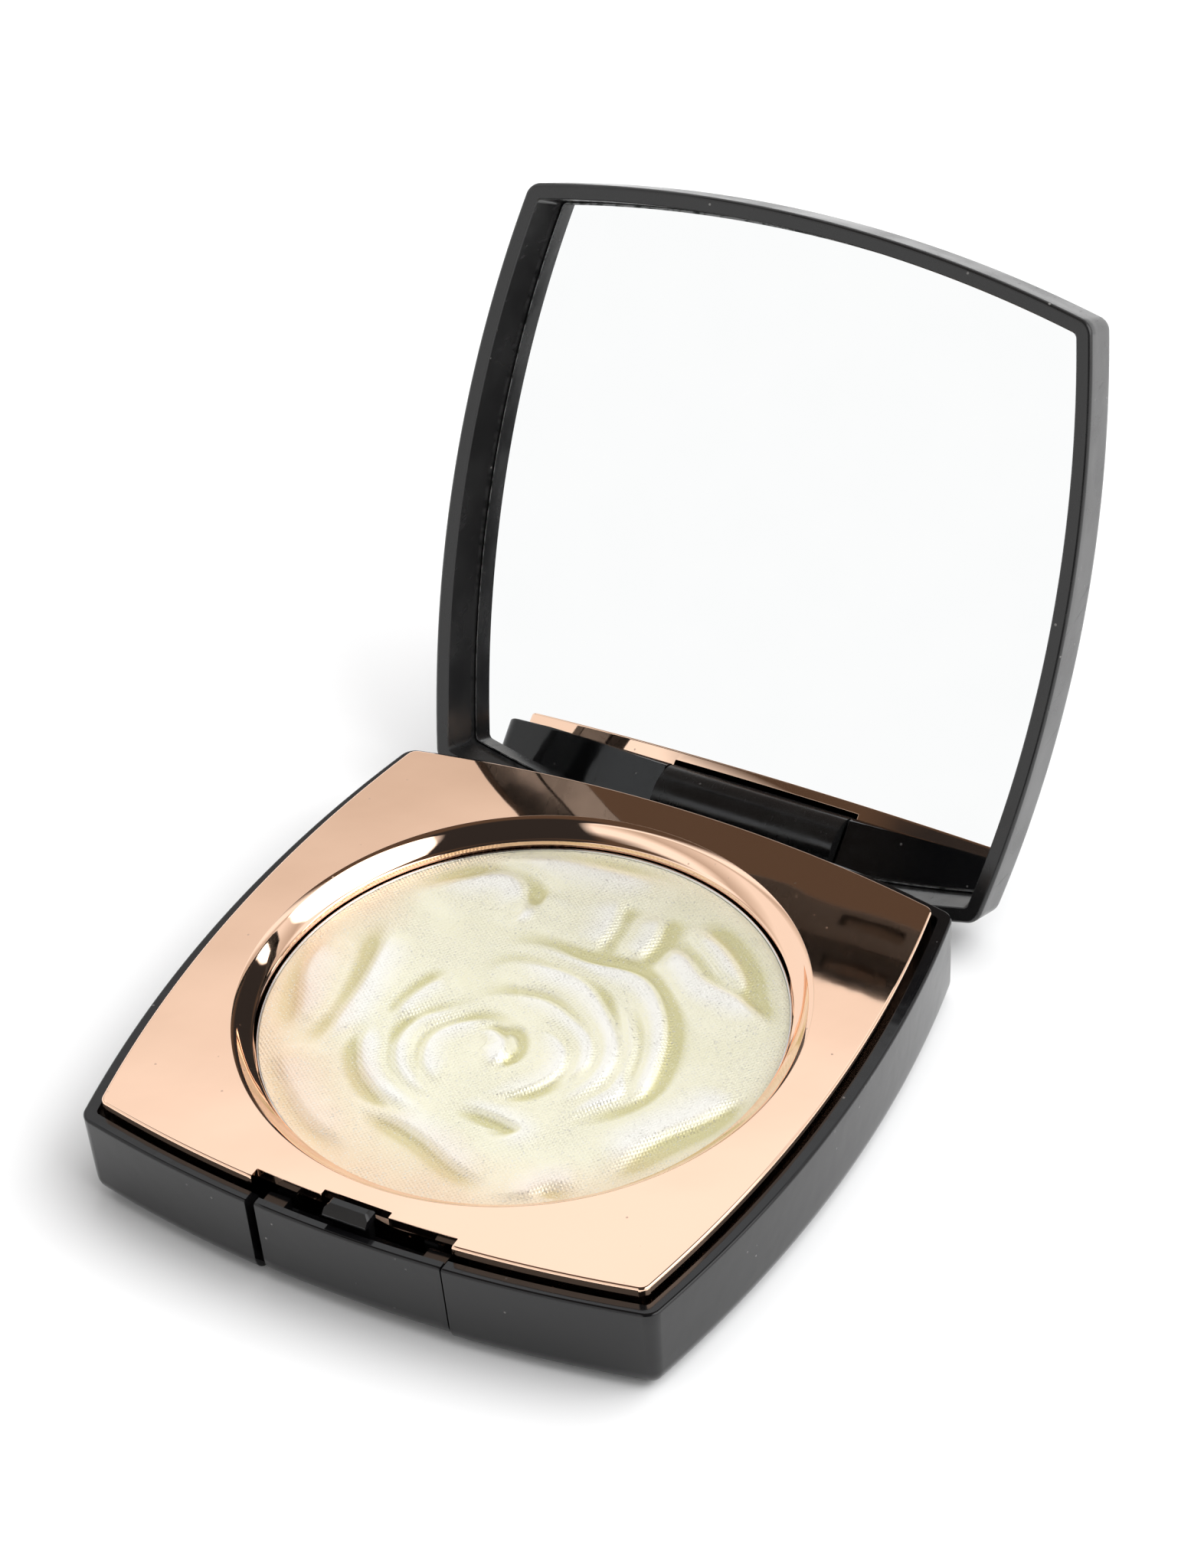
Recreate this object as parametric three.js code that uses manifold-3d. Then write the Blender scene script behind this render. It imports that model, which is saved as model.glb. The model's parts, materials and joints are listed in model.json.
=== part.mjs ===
// A square powder compact with bowed sides, standing open on its base.
// Millimetres, +Z up, +X to the right of someone facing the latch, latch towards -Y.
// The origin is the middle of the underside. The lid is drawn closed and then swung open.
import * as THREE from 'three';
import { mergeVertices } from 'three/addons/utils/BufferGeometryUtils.js';
import Module from 'manifold-3d';

const wasm = await Module();
wasm.setup();

// ---- Outline seen from above: four shallow arcs with rounded corners
const halfWidth = 39.0;
const halfDepth = 38.35;
const sideBow = 158.0; // radius of the left and right sides
const frontBow = 160.0; // radius of the front and rear sides
const cornerRadius = 2.0;
const sideSteps = 12;
const cornerSteps = 6;

// ---- Base shell
const rimHeight = 11.5;
const baseDraft = 0.5; // how much smaller the underside is, all round
const baseEdge = 2.6; // rounding of the underside's edge
const rimWidth = 1.5;
const wallDepth = 2.6; // outline to inner face of the wall, below the ledge
const floorThickness = 1.4;
const rimBreak = 0.15;
const ribRadius = 21.0;
const ribThickness = 1.2;
const cavityCorner = 0.8;

// ---- Deck: the plated plate that stands a little above the rim and carries the powder well
const deckGap = 0.52; // groove between the rim and the deck
const deckRise = 1.65;
const deckThickness = 1.2;
const deckCorner = 1.3;
const deckSkirt = 3.05; // deck top to the lower edge of its skirt
const skirtThickness = 1.15;
const deckBreak = 0.2;

// ---- Well and pan
const panRadius = 29.3;
const panWall = 0.25;
const panHeight = 4.3;
const panGap = 0.2; // round the pan, inside the well
const panDrop = 2.7; // deck top to the pan's rim
const wellFlare = 1.6; // how far the well's cone opens out above its step
const mouthWidth = 0.45; // shallower lip between the cone and the deck
const mouthDrop = 0.24;
const wellStep = 1.75; // deck top to the step above the pan
const stepWidth = 0.2;
const cupWall = 1.1;
const cupFloor = 1.0;
const releaseHole = 3.0; // radius of the hole that the pan is pushed out through
const glueInset = 3.3; // pan's wall to the edge of the glue
const glueThickness = 0.3;
const powderCrown = 0.55; // rise of the pressed powder towards its middle
const powderDrop = 0.25; // powder's edge below the pan's rim

// ---- Hinge
const openAngle = 117.2; // degrees from closed
const hingeInset = 3.03; // rear of the outline to the hinge line
const hingeDrop = 4.34; // rim to the hinge line
const rearNotch = 12.1; // half the width of the gap for the lid's knuckle
const knuckleGap = 0.3;
const knuckleRadius = 2.4;
const webThickness = 1.3;
const pinRadius = 0.8;
const pinLength = 10.2;
const boreClearance = 0.05;
const earWidth = 5.2;
const earReach = 2.8; // ear in front of the hinge line
const swingClearance = 0.12;
const drumTurn = 205; // degrees round the closed knuckle, from the rear over the top

// ---- Latch button
const frontNotch = 12.05; // half the width of the gap that the button fills
const buttonGap = 0.7; // at each end of the button, on average
const buttonShift = 0.45; // the button sits to one side in its gap
const buttonWall = 1.2;
const buttonLift = 0.3; // lower edge above the underside
const buttonTravel = 0.7;
const flangeWidth = 2.6;
const flangeDepth = 1.9;
const flangeDrop = 0.6; // flange tops and stops below the rim
const postDepth = 0.9;
const shelfThickness = 0.9;
const shelfDrop = 1.9; // rim to the top of the shelf
const wingWidth = 1.5;
const hookWidth = 5.3;
const hookHeight = 1.3;
const hookShift = -0.1;
const neckWidth = 4.6;
const neckDepth = 0.95;
const hookBevel = 0.45;
const hookBite = 0.5; // how far the hook reaches over the lid's lip
const latchBay = 7.3; // outline to the back of the room behind the latch
const lipHeight = 0.9;
const lipWidth = 9.2;
const catchDepth = 0.95;
const springRadius = 1.2;
const springWire = 0.22;
const springTurns = 4;
const springOffset = 5.6;
const springHeight = 5.4;
const springLength = 3.6;

// ---- Lid
const lidHeight = 7.6;
const lidDraft = 0.25;
const lidEdge = 2.2; // rounding of the lid's outer edge
const lidBreak = 0.5; // rounding at the rim face
const lidWall = 1.8;
const trayCorner = 0.8;
const trayDraft = 0.6;
const mirrorDepth = 5.05; // rim face to the glass
const glassThickness = 1.1;
const tapeThickness = 0.25;
const mirrorGap = 0.15;
const tapeInset = 3.0;
const bedGap = 0.05; // round everything bedded in the turned lid

// ---- Underside label
const labelRadius = 24.0;
const labelThickness = 0.25;
const seatGap = 0.03;

// ---- Heights and lines that follow from the sizes above
const deckTop = rimHeight + deckRise;
const deckInset = rimWidth + deckGap;
const ledgeHeight = deckTop - deckSkirt - seatGap;
const panTop = deckTop - panDrop;
const panBottom = panTop - panHeight;
const cupTop = panBottom - seatGap - glueThickness - seatGap;
const cupRadius = panRadius + panGap;
const glueRadius = panRadius - glueInset;
const stepRadius = cupRadius + stepWidth;
const hingeY = halfDepth - hingeInset;
const hingeZ = rimHeight - hingeDrop;
const bayBack = latchBay - halfDepth;
const buttonWidth = 2 * (frontNotch - buttonGap);

// ---------------------------------------------------------------- helpers

// Points round the bowed square, drawn in by `inset`, with corners of radius `corner`.
function outline(inset, corner = cornerRadius - inset) {
  const r = Math.max(corner, 0.4);
  const w = halfWidth - inset;
  const d = halfDepth - inset;
  const rw = sideBow - inset;
  const rd = frontBow - inset;
  // The corner circle touches both arcs: found by Newton's method.
  let cx = w - r - 3;
  let cy = d - r - 3;
  for (let i = 0; i < 20; i++) {
    const a = cx + rw - w;
    const b = cy + rd - d;
    const la = Math.hypot(a, cy);
    const lb = Math.hypot(cx, b);
    const f = la - (rw - r);
    const g = lb - (rd - r);
    const det = (a / la) * (b / lb) - (cy / la) * (cx / lb);
    cx -= (f * (b / lb) - g * (cy / la)) / det;
    cy -= (g * (a / la) - f * (cx / lb)) / det;
  }
  const sideAngle = Math.atan2(cy, cx + rw - w);
  const frontAngle = Math.atan2(cx, cy + rd - d);
  const points = [];
  const arc = (x, y, radius, from, to, steps) => {
    for (let i = 0; i < steps; i++) {
      const t = from + ((to - from) * i) / steps;
      points.push(new THREE.Vector2(x + radius * Math.cos(t), y + radius * Math.sin(t)));
    }
  };
  const q = Math.PI / 2;
  arc(w - rw, 0, rw, -sideAngle, sideAngle, sideSteps);
  arc(cx, cy, r, sideAngle, q - frontAngle, cornerSteps);
  arc(0, d - rd, rd, q - frontAngle, q + frontAngle, sideSteps);
  arc(-cx, cy, r, q + frontAngle, 2 * q - sideAngle, cornerSteps);
  arc(rw - w, 0, rw, 2 * q - sideAngle, 2 * q + sideAngle, sideSteps);
  arc(-cx, -cy, r, 2 * q + sideAngle, 3 * q - frontAngle, cornerSteps);
  arc(0, rd - d, rd, 3 * q - frontAngle, 3 * q + frontAngle, sideSteps);
  arc(cx, -cy, r, 3 * q + frontAngle, 4 * q - sideAngle, cornerSteps);
  return points;
}

// A solid through level outlines given as [inset, z, corner] from the bottom up.
function loft(levels) {
  const rings = levels.map(([inset, z, corner]) => outline(inset, corner).map((p) => [p.x, p.y, z]));
  const n = rings[0].length;
  const position = [...rings.flat(2), 0, 0, levels[0][1], 0, 0, levels.at(-1)[1]];
  const index = [];
  const low = rings.length * n;
  const top = (rings.length - 1) * n;
  for (let i = 0; i < n; i++) {
    const j = (i + 1) % n;
    for (let k = 0; k < rings.length - 1; k++) {
      const a = k * n + i;
      const b = k * n + j;
      index.push(a, b, b + n, a, b + n, a + n);
    }
    index.push(low, j, i, low + 1, top + i, top + j);
  }
  const geometry = new THREE.BufferGeometry();
  geometry.setAttribute('position', new THREE.Float32BufferAttribute(position, 3));
  geometry.setIndex(index);
  return solid(geometry);
}

// A closed three.js geometry as a solid that can be joined and cut.
function solid(geometry) {
  const bare = geometry.clone();
  bare.deleteAttribute('normal');
  bare.deleteAttribute('uv');
  const merged = mergeVertices(bare, 1e-5);
  return new wasm.Manifold(
    new wasm.Mesh({
      numProp: 3,
      vertProperties: new Float32Array(merged.attributes.position.array),
      triVerts: new Uint32Array(merged.index.array),
    }),
  );
}

function box(x0, x1, y0, y1, z0, z1) {
  const geometry = new THREE.BoxGeometry(x1 - x0, y1 - y0, z1 - z0);
  return solid(geometry.translate((x0 + x1) / 2, (y0 + y1) / 2, (z0 + z1) / 2));
}

// A turned solid from [radius, z] points; the profile starts and ends on the axis or closes.
function turned(profile, segments = 72) {
  return solid(
    new THREE.LatheGeometry(
      profile.map(([r, z]) => new THREE.Vector2(r, z)),
      segments,
    ).rotateX(Math.PI / 2),
  );
}

// A round bar along X from x0 to x1.
function barAlongX(radius, x0, x1, y, z, segments = 24) {
  const geometry = new THREE.CylinderGeometry(radius, radius, x1 - x0, segments);
  return solid(geometry.rotateZ(Math.PI / 2).translate((x0 + x1) / 2, y, z));
}

// A prism along X whose section is given as [y, z] points.
function prismAlongX(section, x0, x1) {
  const shape = new THREE.Shape(section.map(([y, z]) => new THREE.Vector2(y, z)));
  const geometry = new THREE.ExtrudeGeometry(shape, { depth: x1 - x0, bevelEnabled: false });
  // shape x, y and depth become world Y, Z and X
  geometry.applyMatrix4(new THREE.Matrix4().set(0, 0, 1, x0, 1, 0, 0, 0, 0, 1, 0, 0, 0, 0, 0, 1));
  return solid(geometry);
}

function join(...solids) {
  return solids.reduce((sum, s) => sum.add(s));
}

function cut(from, ...solids) {
  return solids.reduce((rest, s) => rest.subtract(s), from);
}

// Turns a solid back into a named mesh.
function piece(name, body, material) {
  const mesh = body.getMesh();
  const geometry = new THREE.BufferGeometry();
  geometry.setAttribute('position', new THREE.Float32BufferAttribute(mesh.vertProperties, 3));
  geometry.setIndex(new THREE.Uint32BufferAttribute(mesh.triVerts, 1));
  geometry.computeVertexNormals();
  const result = new THREE.Mesh(geometry, material);
  result.name = name;
  return result;
}

// The y of the front face at x, for an outline drawn in by `inset`.
function frontY(x, inset) {
  const radius = frontBow - inset;
  return radius - (halfDepth - inset) - Math.sqrt(radius * radius - x * x);
}

// How far the base's outer wall is drawn in at a height.
function draftAt(z) {
  return (baseDraft * (rimHeight - z)) / rimHeight;
}

// ---------------------------------------------------------------- materials

const plastic = (color, roughness) => new THREE.MeshStandardMaterial({ color, roughness, metalness: 0 });
const metal = (color, roughness) => new THREE.MeshStandardMaterial({ color, roughness, metalness: 1 });
const blackShell = plastic(0x141416, 0.22);
const blackLatch = plastic(0x1a1a1c, 0.3);
const roseGold = metal(0xe8b79a, 0.08);
const panMetal = metal(0xc9c9cc, 0.3);
const powder = plastic(0xe9e4d0, 0.85);
const steel = metal(0x9a9a9e, 0.3);
const glass = metal(0xe6e8ea, 0.02);
const tape = plastic(0xd8d4cc, 0.8);
const paper = plastic(0xdededc, 0.6);

const group = new THREE.Group();

// ---------------------------------------------------------------- base shell

// Outer form: a rounded lower edge, then a straight drafted wall up to a slightly broken rim.
const baseLevels = [];
for (let i = 0; i <= 4; i++) {
  const t = (Math.PI / 2) * (i / 4);
  const z = baseEdge * (1 - Math.sin(Math.PI / 2 - t));
  const back = baseEdge * (1 - Math.cos(Math.PI / 2 - t));
  baseLevels.push([draftAt(z) + back, z]);
}
baseLevels.push([0.01, rimHeight - rimBreak], [rimBreak, rimHeight]);
const baseBody = loft(baseLevels);

const innerCavity = loft([
  [wallDepth, floorThickness, cavityCorner],
  [wallDepth, ledgeHeight, cavityCorner],
]);
const deckPocket = loft([
  [rimWidth, ledgeHeight, cornerRadius - rimWidth],
  [rimWidth, rimHeight + 1, cornerRadius - rimWidth],
]);

// Gap for the button: right through the wall and out through the edge of the floor.
const buttonBack = frontY(frontNotch, 0) + buttonWall + baseDraft + buttonTravel + 0.15;
const frontGap = box(-frontNotch, frontNotch, -halfDepth - 1, buttonBack, -1, rimHeight + 1);
const behindWall = frontY(0, wallDepth) - 0.3;
const wingRoom = frontNotch + 1.8;
const frontLedgeGap = join(
  box(-frontNotch, frontNotch, buttonBack - 0.1, bayBack, floorThickness, rimHeight + 1),
  box(-wingRoom, wingRoom, behindWall, bayBack, floorThickness, rimHeight),
);

// Gap for the knuckle, and the rear rim rounded about the hinge line so that the lid swings past it.
const rearGap = box(-rearNotch, rearNotch, hingeY - 1.5, halfDepth + 1, floorThickness, rimHeight + 1);
const swingPath = cut(
  box(-halfWidth, halfWidth, hingeY, halfDepth + 1, hingeZ, rimHeight + 1),
  barAlongX(hingeDrop - swingClearance, -halfWidth - 1, halfWidth + 1, hingeY, hingeZ, 48),
);
const labelSeat = labelThickness + seatGap;
const recessRadius = labelRadius + 0.2;
const labelRecess = turned([[0, -1], [recessRadius, -1], [recessRadius, labelSeat], [0, labelSeat]]);

// Ring rib under the powder cup.
const ribTop = cupTop - cupFloor - seatGap;
const ring = turned([
  [ribRadius - ribThickness, floorThickness - 0.2],
  [ribRadius, floorThickness - 0.2],
  [ribRadius, ribTop],
  [ribRadius - ribThickness, ribTop],
  [ribRadius - ribThickness, floorThickness - 0.2],
]);

let base = cut(baseBody, innerCavity, deckPocket, swingPath, labelRecess);

// Two ears that hold the hinge pins, one each side of the knuckle.
const earTop = ledgeHeight - 0.25;
for (const side of [-1, 1]) {
  const inner = side * rearNotch;
  const outer = side * (rearNotch + earWidth);
  const [x0, x1] = [Math.min(inner, outer), Math.max(inner, outer)];
  const rear = halfDepth - wallDepth + 0.2;
  base = join(base, box(x0, x1, hingeY - earReach, rear, floorThickness - 0.2, earTop));
}

// Stops behind the button's flanges, and walls that the springs push against.
const flangeBack = frontY(0, 0) + buttonWall + flangeDepth + 0.3;
const postFront = flangeBack + buttonTravel + 0.02;
const postTop = rimHeight - flangeDrop;
const springFront = frontY(springOffset, buttonWall + draftAt(springHeight - springRadius)) + 0.25;
const springBack = springFront + springLength + 0.1;
base = join(base, ring);
const bore = pinRadius + boreClearance;
const earEnd = rearNotch + earWidth;
const pinLine = barAlongX(bore, -earEnd, earEnd, hingeY, hingeZ, 16);
base = cut(base, frontGap, frontLedgeGap, rearGap, pinLine);
// The stops and spring walls stand behind the button's gap, so they are added back after it is cut.
for (const side of [-1, 1]) {
  const inner = side * (frontNotch - 4.2);
  const outer = side * (frontNotch - 1.85);
  const [x0, x1] = [Math.min(inner, outer), Math.max(inner, outer)];
  base = join(base, box(x0, x1, postFront, postFront + postDepth, floorThickness - 0.2, postTop));
  const s0 = side * springOffset - 2.2;
  const s1 = side * springOffset + 2.2;
  base = join(base, box(s0, s1, springBack, springBack + 0.8, floorThickness - 0.2, springHeight + 1.6));
}
group.add(piece('base_shell', base, blackShell));

group.add(
  piece(
    'bottom_label',
    turned([[0, 0], [labelRadius, 0], [labelRadius, labelThickness], [0, labelThickness]], 48),
    paper,
  ),
);

// ---------------------------------------------------------------- deck plate with its powder cup

const plate = loft([
  [deckInset, deckTop - deckSkirt, deckCorner],
  [deckInset, deckTop - deckBreak, deckCorner],
  [deckInset + deckBreak, deckTop, deckCorner],
]);
const underPlate = loft([
  [deckInset + skirtThickness, deckTop - deckSkirt - 1, deckCorner - 0.6],
  [deckInset + skirtThickness, deckTop - deckThickness, deckCorner - 0.6],
]);
const wellRadius = stepRadius + wellFlare + mouthWidth;
const wellOuter = wellRadius + 1.2;

// The well's wall: a shallow lip, then a cone with a slight hollow down to a step above the pan.
const cove = [[wellRadius, deckTop]];
for (let i = 0; i <= 5; i++) {
  const t = i / 5;
  const bulge = 0.06 * Math.sin(Math.PI * t);
  const drop = mouthDrop + (wellStep - mouthDrop) * t;
  cove.push([wellRadius - mouthWidth - wellFlare * t + bulge, deckTop - drop - bulge]);
}
const cup = turned(
  [
    [wellOuter, deckTop],
    ...cove,
    [cupRadius, deckTop - wellStep],
    [cupRadius, cupTop],
    [releaseHole, cupTop],
    [releaseHole, cupTop - cupFloor],
    [cupRadius + cupWall, cupTop - cupFloor],
    [cupRadius + cupWall, deckTop - deckThickness - 1.0],
    [wellOuter, deckTop - deckThickness - 0.3],
    [wellOuter, deckTop],
  ],
  96,
);
const wellMouth = turned([
  [0, deckTop - 6],
  [wellOuter - 0.5, deckTop - 6],
  [wellOuter - 0.5, deckTop + 1],
  [0, deckTop + 1],
], 96);

// Front cut-out over the latch: wide, with a deeper slot in the middle for the hook's neck.
const deckNotch = frontNotch + 0.25;
const notchDepth = 1.35;
const notchSection = cut(
  box(-deckNotch, deckNotch, -halfDepth - 1, bayBack + 1, deckTop - deckSkirt - 1, deckTop + 1),
  loft([
    [deckInset + notchDepth, deckTop - deckSkirt - 2, deckCorner],
    [deckInset + notchDepth, deckTop + 2, deckCorner],
  ]),
);
const slotHalf = 4.1;
const slotBack = frontY(0, deckInset + notchDepth) + 0.85;
const neckSlot = box(-slotHalf, slotHalf, -halfDepth, slotBack, deckTop - deckSkirt - 1, deckTop + 1);
// The skirt stops short behind the latch, where the shelf and the stops move.
const skirtFoot = deckTop - deckSkirt - 1;
const underDeck = deckTop - deckThickness;
const gapHalf = frontNotch + wingWidth + 0.65;
const skirtGap = box(-gapHalf, gapHalf, -halfDepth, postFront + postDepth + 1.1, skirtFoot, underDeck);
// At the rear the skirt stops short over the lid's knuckle.
const knuckleRelief = box(-rearNotch, rearNotch, hingeY - 1, halfDepth, skirtFoot, underDeck);
const deckBody = join(cut(plate, underPlate, wellMouth), cup);
const deck = cut(deckBody, notchSection, neckSlot, skirtGap, knuckleRelief);
group.add(piece('deck_plate', deck, roseGold));

// ---------------------------------------------------------------- pan, glue and powder

const panFloor = panBottom + panWall;
group.add(
  piece(
    'powder_pan',
    turned(
      [
        [0, panBottom],
        [panRadius - 0.6, panBottom],
        [panRadius, panBottom + 0.6],
        [panRadius, panTop],
        [panRadius - panWall, panTop],
        [panRadius - panWall, panFloor + 0.5],
        [panRadius - panWall - 0.5, panFloor],
        [0, panFloor],
      ],
      96,
    ),
    panMetal,
  ),
);
const glueBottom = cupTop + seatGap;
const glueTop = glueBottom + glueThickness;
const glueProfile = [[0, glueBottom], [glueRadius, glueBottom], [glueRadius, glueTop], [0, glueTop]];
group.add(piece('pan_glue_disc', turned(glueProfile, 48), tape));

const powderRadius = panRadius - panWall - seatGap;
const powderFoot = powderRadius - 0.6;
const powderBottom = panFloor + seatGap;
const powderEdge = panTop - powderDrop;
const crown = [];
for (let i = 0; i <= 8; i++) {
  const t = i / 8;
  crown.push([powderRadius * (1 - t), powderEdge + powderCrown * Math.sin((Math.PI / 2) * Math.sqrt(t))]);
}
group.add(
  piece(
    'powder_cake',
    turned([[0, powderBottom], [powderFoot, powderBottom], [powderRadius, powderBottom + 0.6], ...crown], 72),
    powder,
  ),
);

// ---------------------------------------------------------------- latch button with its hook

const b0 = buttonShift - buttonWidth / 2;
const b1 = buttonShift + buttonWidth / 2;
const faceOuter = loft([
  ...baseLevels.slice(0, 5).map(([inset, z]) => [inset + 0.12, z + buttonLift]),
  [0.12, rimHeight - rimBreak],
  [rimBreak + 0.12, rimHeight],
]);
const faceInner = loft([
  [buttonWall + baseDraft, -1, 1],
  [buttonWall + draftAt(buttonLift), buttonLift, 1],
  [buttonWall, rimHeight, 1],
  [buttonWall, rimHeight + 1, 1],
]);
const face = cut(faceOuter, faceInner).intersect(box(b0, b1, -halfDepth - 1, bayBack, -1, rimHeight + 1));

const shelfTop = rimHeight - shelfDrop;
const behindFace = frontY(0, 0) + buttonWall - 0.15;
const innerClip = loft([
  [0.4 + baseDraft, -1, 1],
  [0.4, rimHeight + 3, 1],
]);
const shelf = box(b0, b1, behindFace - 0.6, flangeBack, shelfTop - shelfThickness, shelfTop);
let button = join(face, shelf.intersect(innerClip));
for (const side of [-1, 1]) {
  const outer = side < 0 ? b0 + 0.2 : b1 - 0.2;
  const inner = outer - side * flangeWidth;
  const [x0, x1] = [Math.min(inner, outer), Math.max(inner, outer)];
  // end flange, which meets the stop when the button is pressed home
  const flangeTop = rimHeight - flangeDrop;
  button = join(button, box(x0, x1, flangeBack - flangeDepth, flangeBack, buttonLift + 1.6, flangeTop));
  // wing that catches behind the wall, so that the springs can't push the button out
  const tip = side * (frontNotch + wingWidth);
  const [w0, w1] = [Math.min(outer, tip), Math.max(outer, tip)];
  const wingFront = frontY(frontNotch + wingWidth, wallDepth) + 0.3;
  const [z0, z1] = [floorThickness + 1.4, shelfTop - 1];
  const arm = [outer - side * 0.3, outer + side * 0.4].sort((a, b) => a - b);
  button = join(
    button,
    box(w0, w1, wingFront, wingFront + 0.8, z0, z1),
    box(arm[0], arm[1], flangeBack - 0.5, wingFront + 0.8, z0, z1),
  );
}

// Hook: a neck up from the shelf, and a head with bevelled ends that leans forward over the lid's lip.
const hookX = hookShift;
const hookFoot = rimHeight + lipHeight + 0.06;
const hookTip = frontY(0, lidWall) - hookBite;
const neckBack = hookTip + 2.1;
const hookTop = hookFoot + hookHeight;
const [n0, n1] = [hookX - neckWidth / 2, hookX + neckWidth / 2];
const neck = box(n0, n1, neckBack - neckDepth, neckBack, shelfTop - 0.2, hookFoot + 0.3);
const neckFoot = box(n0 - 1.3, n1 + 1.3, behindFace - 0.1, neckBack, shelfTop - shelfThickness, shelfTop);
let head = prismAlongX(
  [
    [hookTip, hookFoot],
    [neckBack, hookFoot],
    [neckBack, hookTop - 0.35],
    [neckBack - 0.35, hookTop],
    [hookTip + 0.95, hookTop],
    [hookTip, hookFoot + 0.3],
  ],
  hookX - hookWidth / 2,
  hookX + hookWidth / 2,
);
for (const side of [-1, 1]) {
  const end = hookX + (side * hookWidth) / 2;
  const bevel = new THREE.BoxGeometry(4, 8, 2).rotateY((side * Math.PI) / 4);
  const out = Math.SQRT1_2 - hookBevel / 2;
  head = cut(head, solid(bevel.translate(end + side * out, hookTip, hookTop + out)));
}
button = join(button, neck, neckFoot.intersect(innerClip), head);
group.add(piece('latch_button', button, blackLatch));

// Two small coil springs behind the button's face.
class Coil extends THREE.Curve {
  getPoint(t, target = new THREE.Vector3()) {
    const angle = t * springTurns * 2 * Math.PI;
    const r = springRadius - springWire;
    const y = springWire + (springLength - 2 * springWire) * t;
    return target.set(r * Math.cos(angle), y, r * Math.sin(angle));
  }
}
const wireShape = new THREE.Shape();
wireShape.absarc(0, 0, springWire, 0, 2 * Math.PI, false);
for (const [side, name] of [[-1, 'latch_spring_left'], [1, 'latch_spring_right']]) {
  const coil = new THREE.ExtrudeGeometry(wireShape, {
    steps: springTurns * 12,
    curveSegments: 3,
    extrudePath: new Coil(),
    bevelEnabled: false,
  });
  const spring = piece(name, solid(coil), steel);
  spring.position.set(side * springOffset, springFront, springHeight);
  group.add(spring);
}

// ---------------------------------------------------------------- hinge pins

for (const [side, name] of [[-1, 'hinge_pin_left'], [1, 'hinge_pin_right']]) {
  const pin = piece(name, barAlongX(pinRadius, 0, pinLength, 0, 0, 16), steel);
  const start = side > 0 ? rearNotch + earWidth - 0.2 - pinLength : -(rearNotch + earWidth - 0.2);
  pin.position.set(start, hingeY, hingeZ);
  group.add(pin);
}

// ---------------------------------------------------------------- lid, drawn closed about the hinge line

const lid = new THREE.Group();
lid.position.set(0, hingeY, hingeZ);
lid.rotation.x = (-openAngle * Math.PI) / 180;
group.add(lid);
const lidPiece = (name, body, material) => {
  const mesh = piece(name, body, material);
  mesh.geometry.translate(0, -hingeY, -hingeZ);
  lid.add(mesh);
};

const lidTop = rimHeight + lidHeight;
const lidLevels = [
  [lidBreak, rimHeight],
  [lidBreak * 0.3, rimHeight + lidBreak * 0.3],
  [0, rimHeight + lidBreak],
];
for (let i = 0; i <= 5; i++) {
  const t = (Math.PI / 2) * (i / 5);
  lidLevels.push([lidDraft + lidEdge * (1 - Math.cos(t)), lidTop - lidEdge * (1 - Math.sin(t))]);
}
const mirrorFace = rimHeight + mirrorDepth;
const bedTop = mirrorFace + glassThickness + tapeThickness + 3 * bedGap;
const trayInset = lidWall + trayDraft;
const tray = loft([
  [lidWall, rimHeight - 1, trayCorner],
  [lidWall, rimHeight, trayCorner],
  [trayInset, mirrorFace, trayCorner],
  [trayInset, bedTop, trayCorner],
]);
// Knuckle: a barrel on the hinge line, joined to the lid's rear wall by a web, with a part drum
// that fills the gap in the rear rim when the lid stands open.
const knuckleEnd = rearNotch - knuckleGap;
const webOuter = loft([[0.15 + baseDraft, 0], [0.15, rimHeight], [0.15, rimHeight + 1.5]]);
const webRing = cut(
  webOuter,
  loft([
    [0.15 + webThickness + draftAt(hingeZ), hingeZ - 1],
    [0.15 + webThickness + draftAt(hingeZ), hingeZ],
    [0.15 + webThickness, rimHeight],
    [lidWall - 0.05, rimHeight + 2],
  ]),
);
const webBox = box(-knuckleEnd, knuckleEnd, hingeY, halfDepth + 1, hingeZ - 0.5, rimHeight + 1.4);
const web = webRing.intersect(webBox);
const barrel = barAlongX(knuckleRadius, -knuckleEnd, knuckleEnd, hingeY, hingeZ, 36);
const drumRadius = hingeDrop - swingClearance;
const drumSection = [[hingeY, hingeZ]];
for (let i = 0; i <= 20; i++) {
  const a = ((Math.PI / 180) * drumTurn * i) / 20;
  drumSection.push([hingeY + drumRadius * Math.cos(a), hingeZ + drumRadius * Math.sin(a)]);
}
const drum = prismAlongX(drumSection, -knuckleEnd, knuckleEnd).intersect(webOuter);

// The lip at the front that the hook holds: a recess above it and a lead-in along its inner edge.
const lipY = frontY(0, lidWall);
const lipTop = rimHeight + lipHeight;
const lipHalf = lipWidth / 2;
const recess = box(-lipHalf, lipHalf, lipY - catchDepth, lipY + 1, lipTop, lipTop + hookHeight + 0.6);
const leadIn = prismAlongX(
  [[lipY - 0.5, rimHeight - 0.2], [lipY + 0.6, rimHeight - 0.2], [lipY + 0.6, rimHeight + 0.9]],
  -lipHalf,
  lipHalf,
);
const lidShell = cut(
  join(cut(loft(lidLevels), tray, recess, leadIn), web, barrel, drum),
  barAlongX(bore, -halfWidth, halfWidth, hingeY, hingeZ, 16),
);
lidPiece('lid_shell', lidShell, blackShell);

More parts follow.
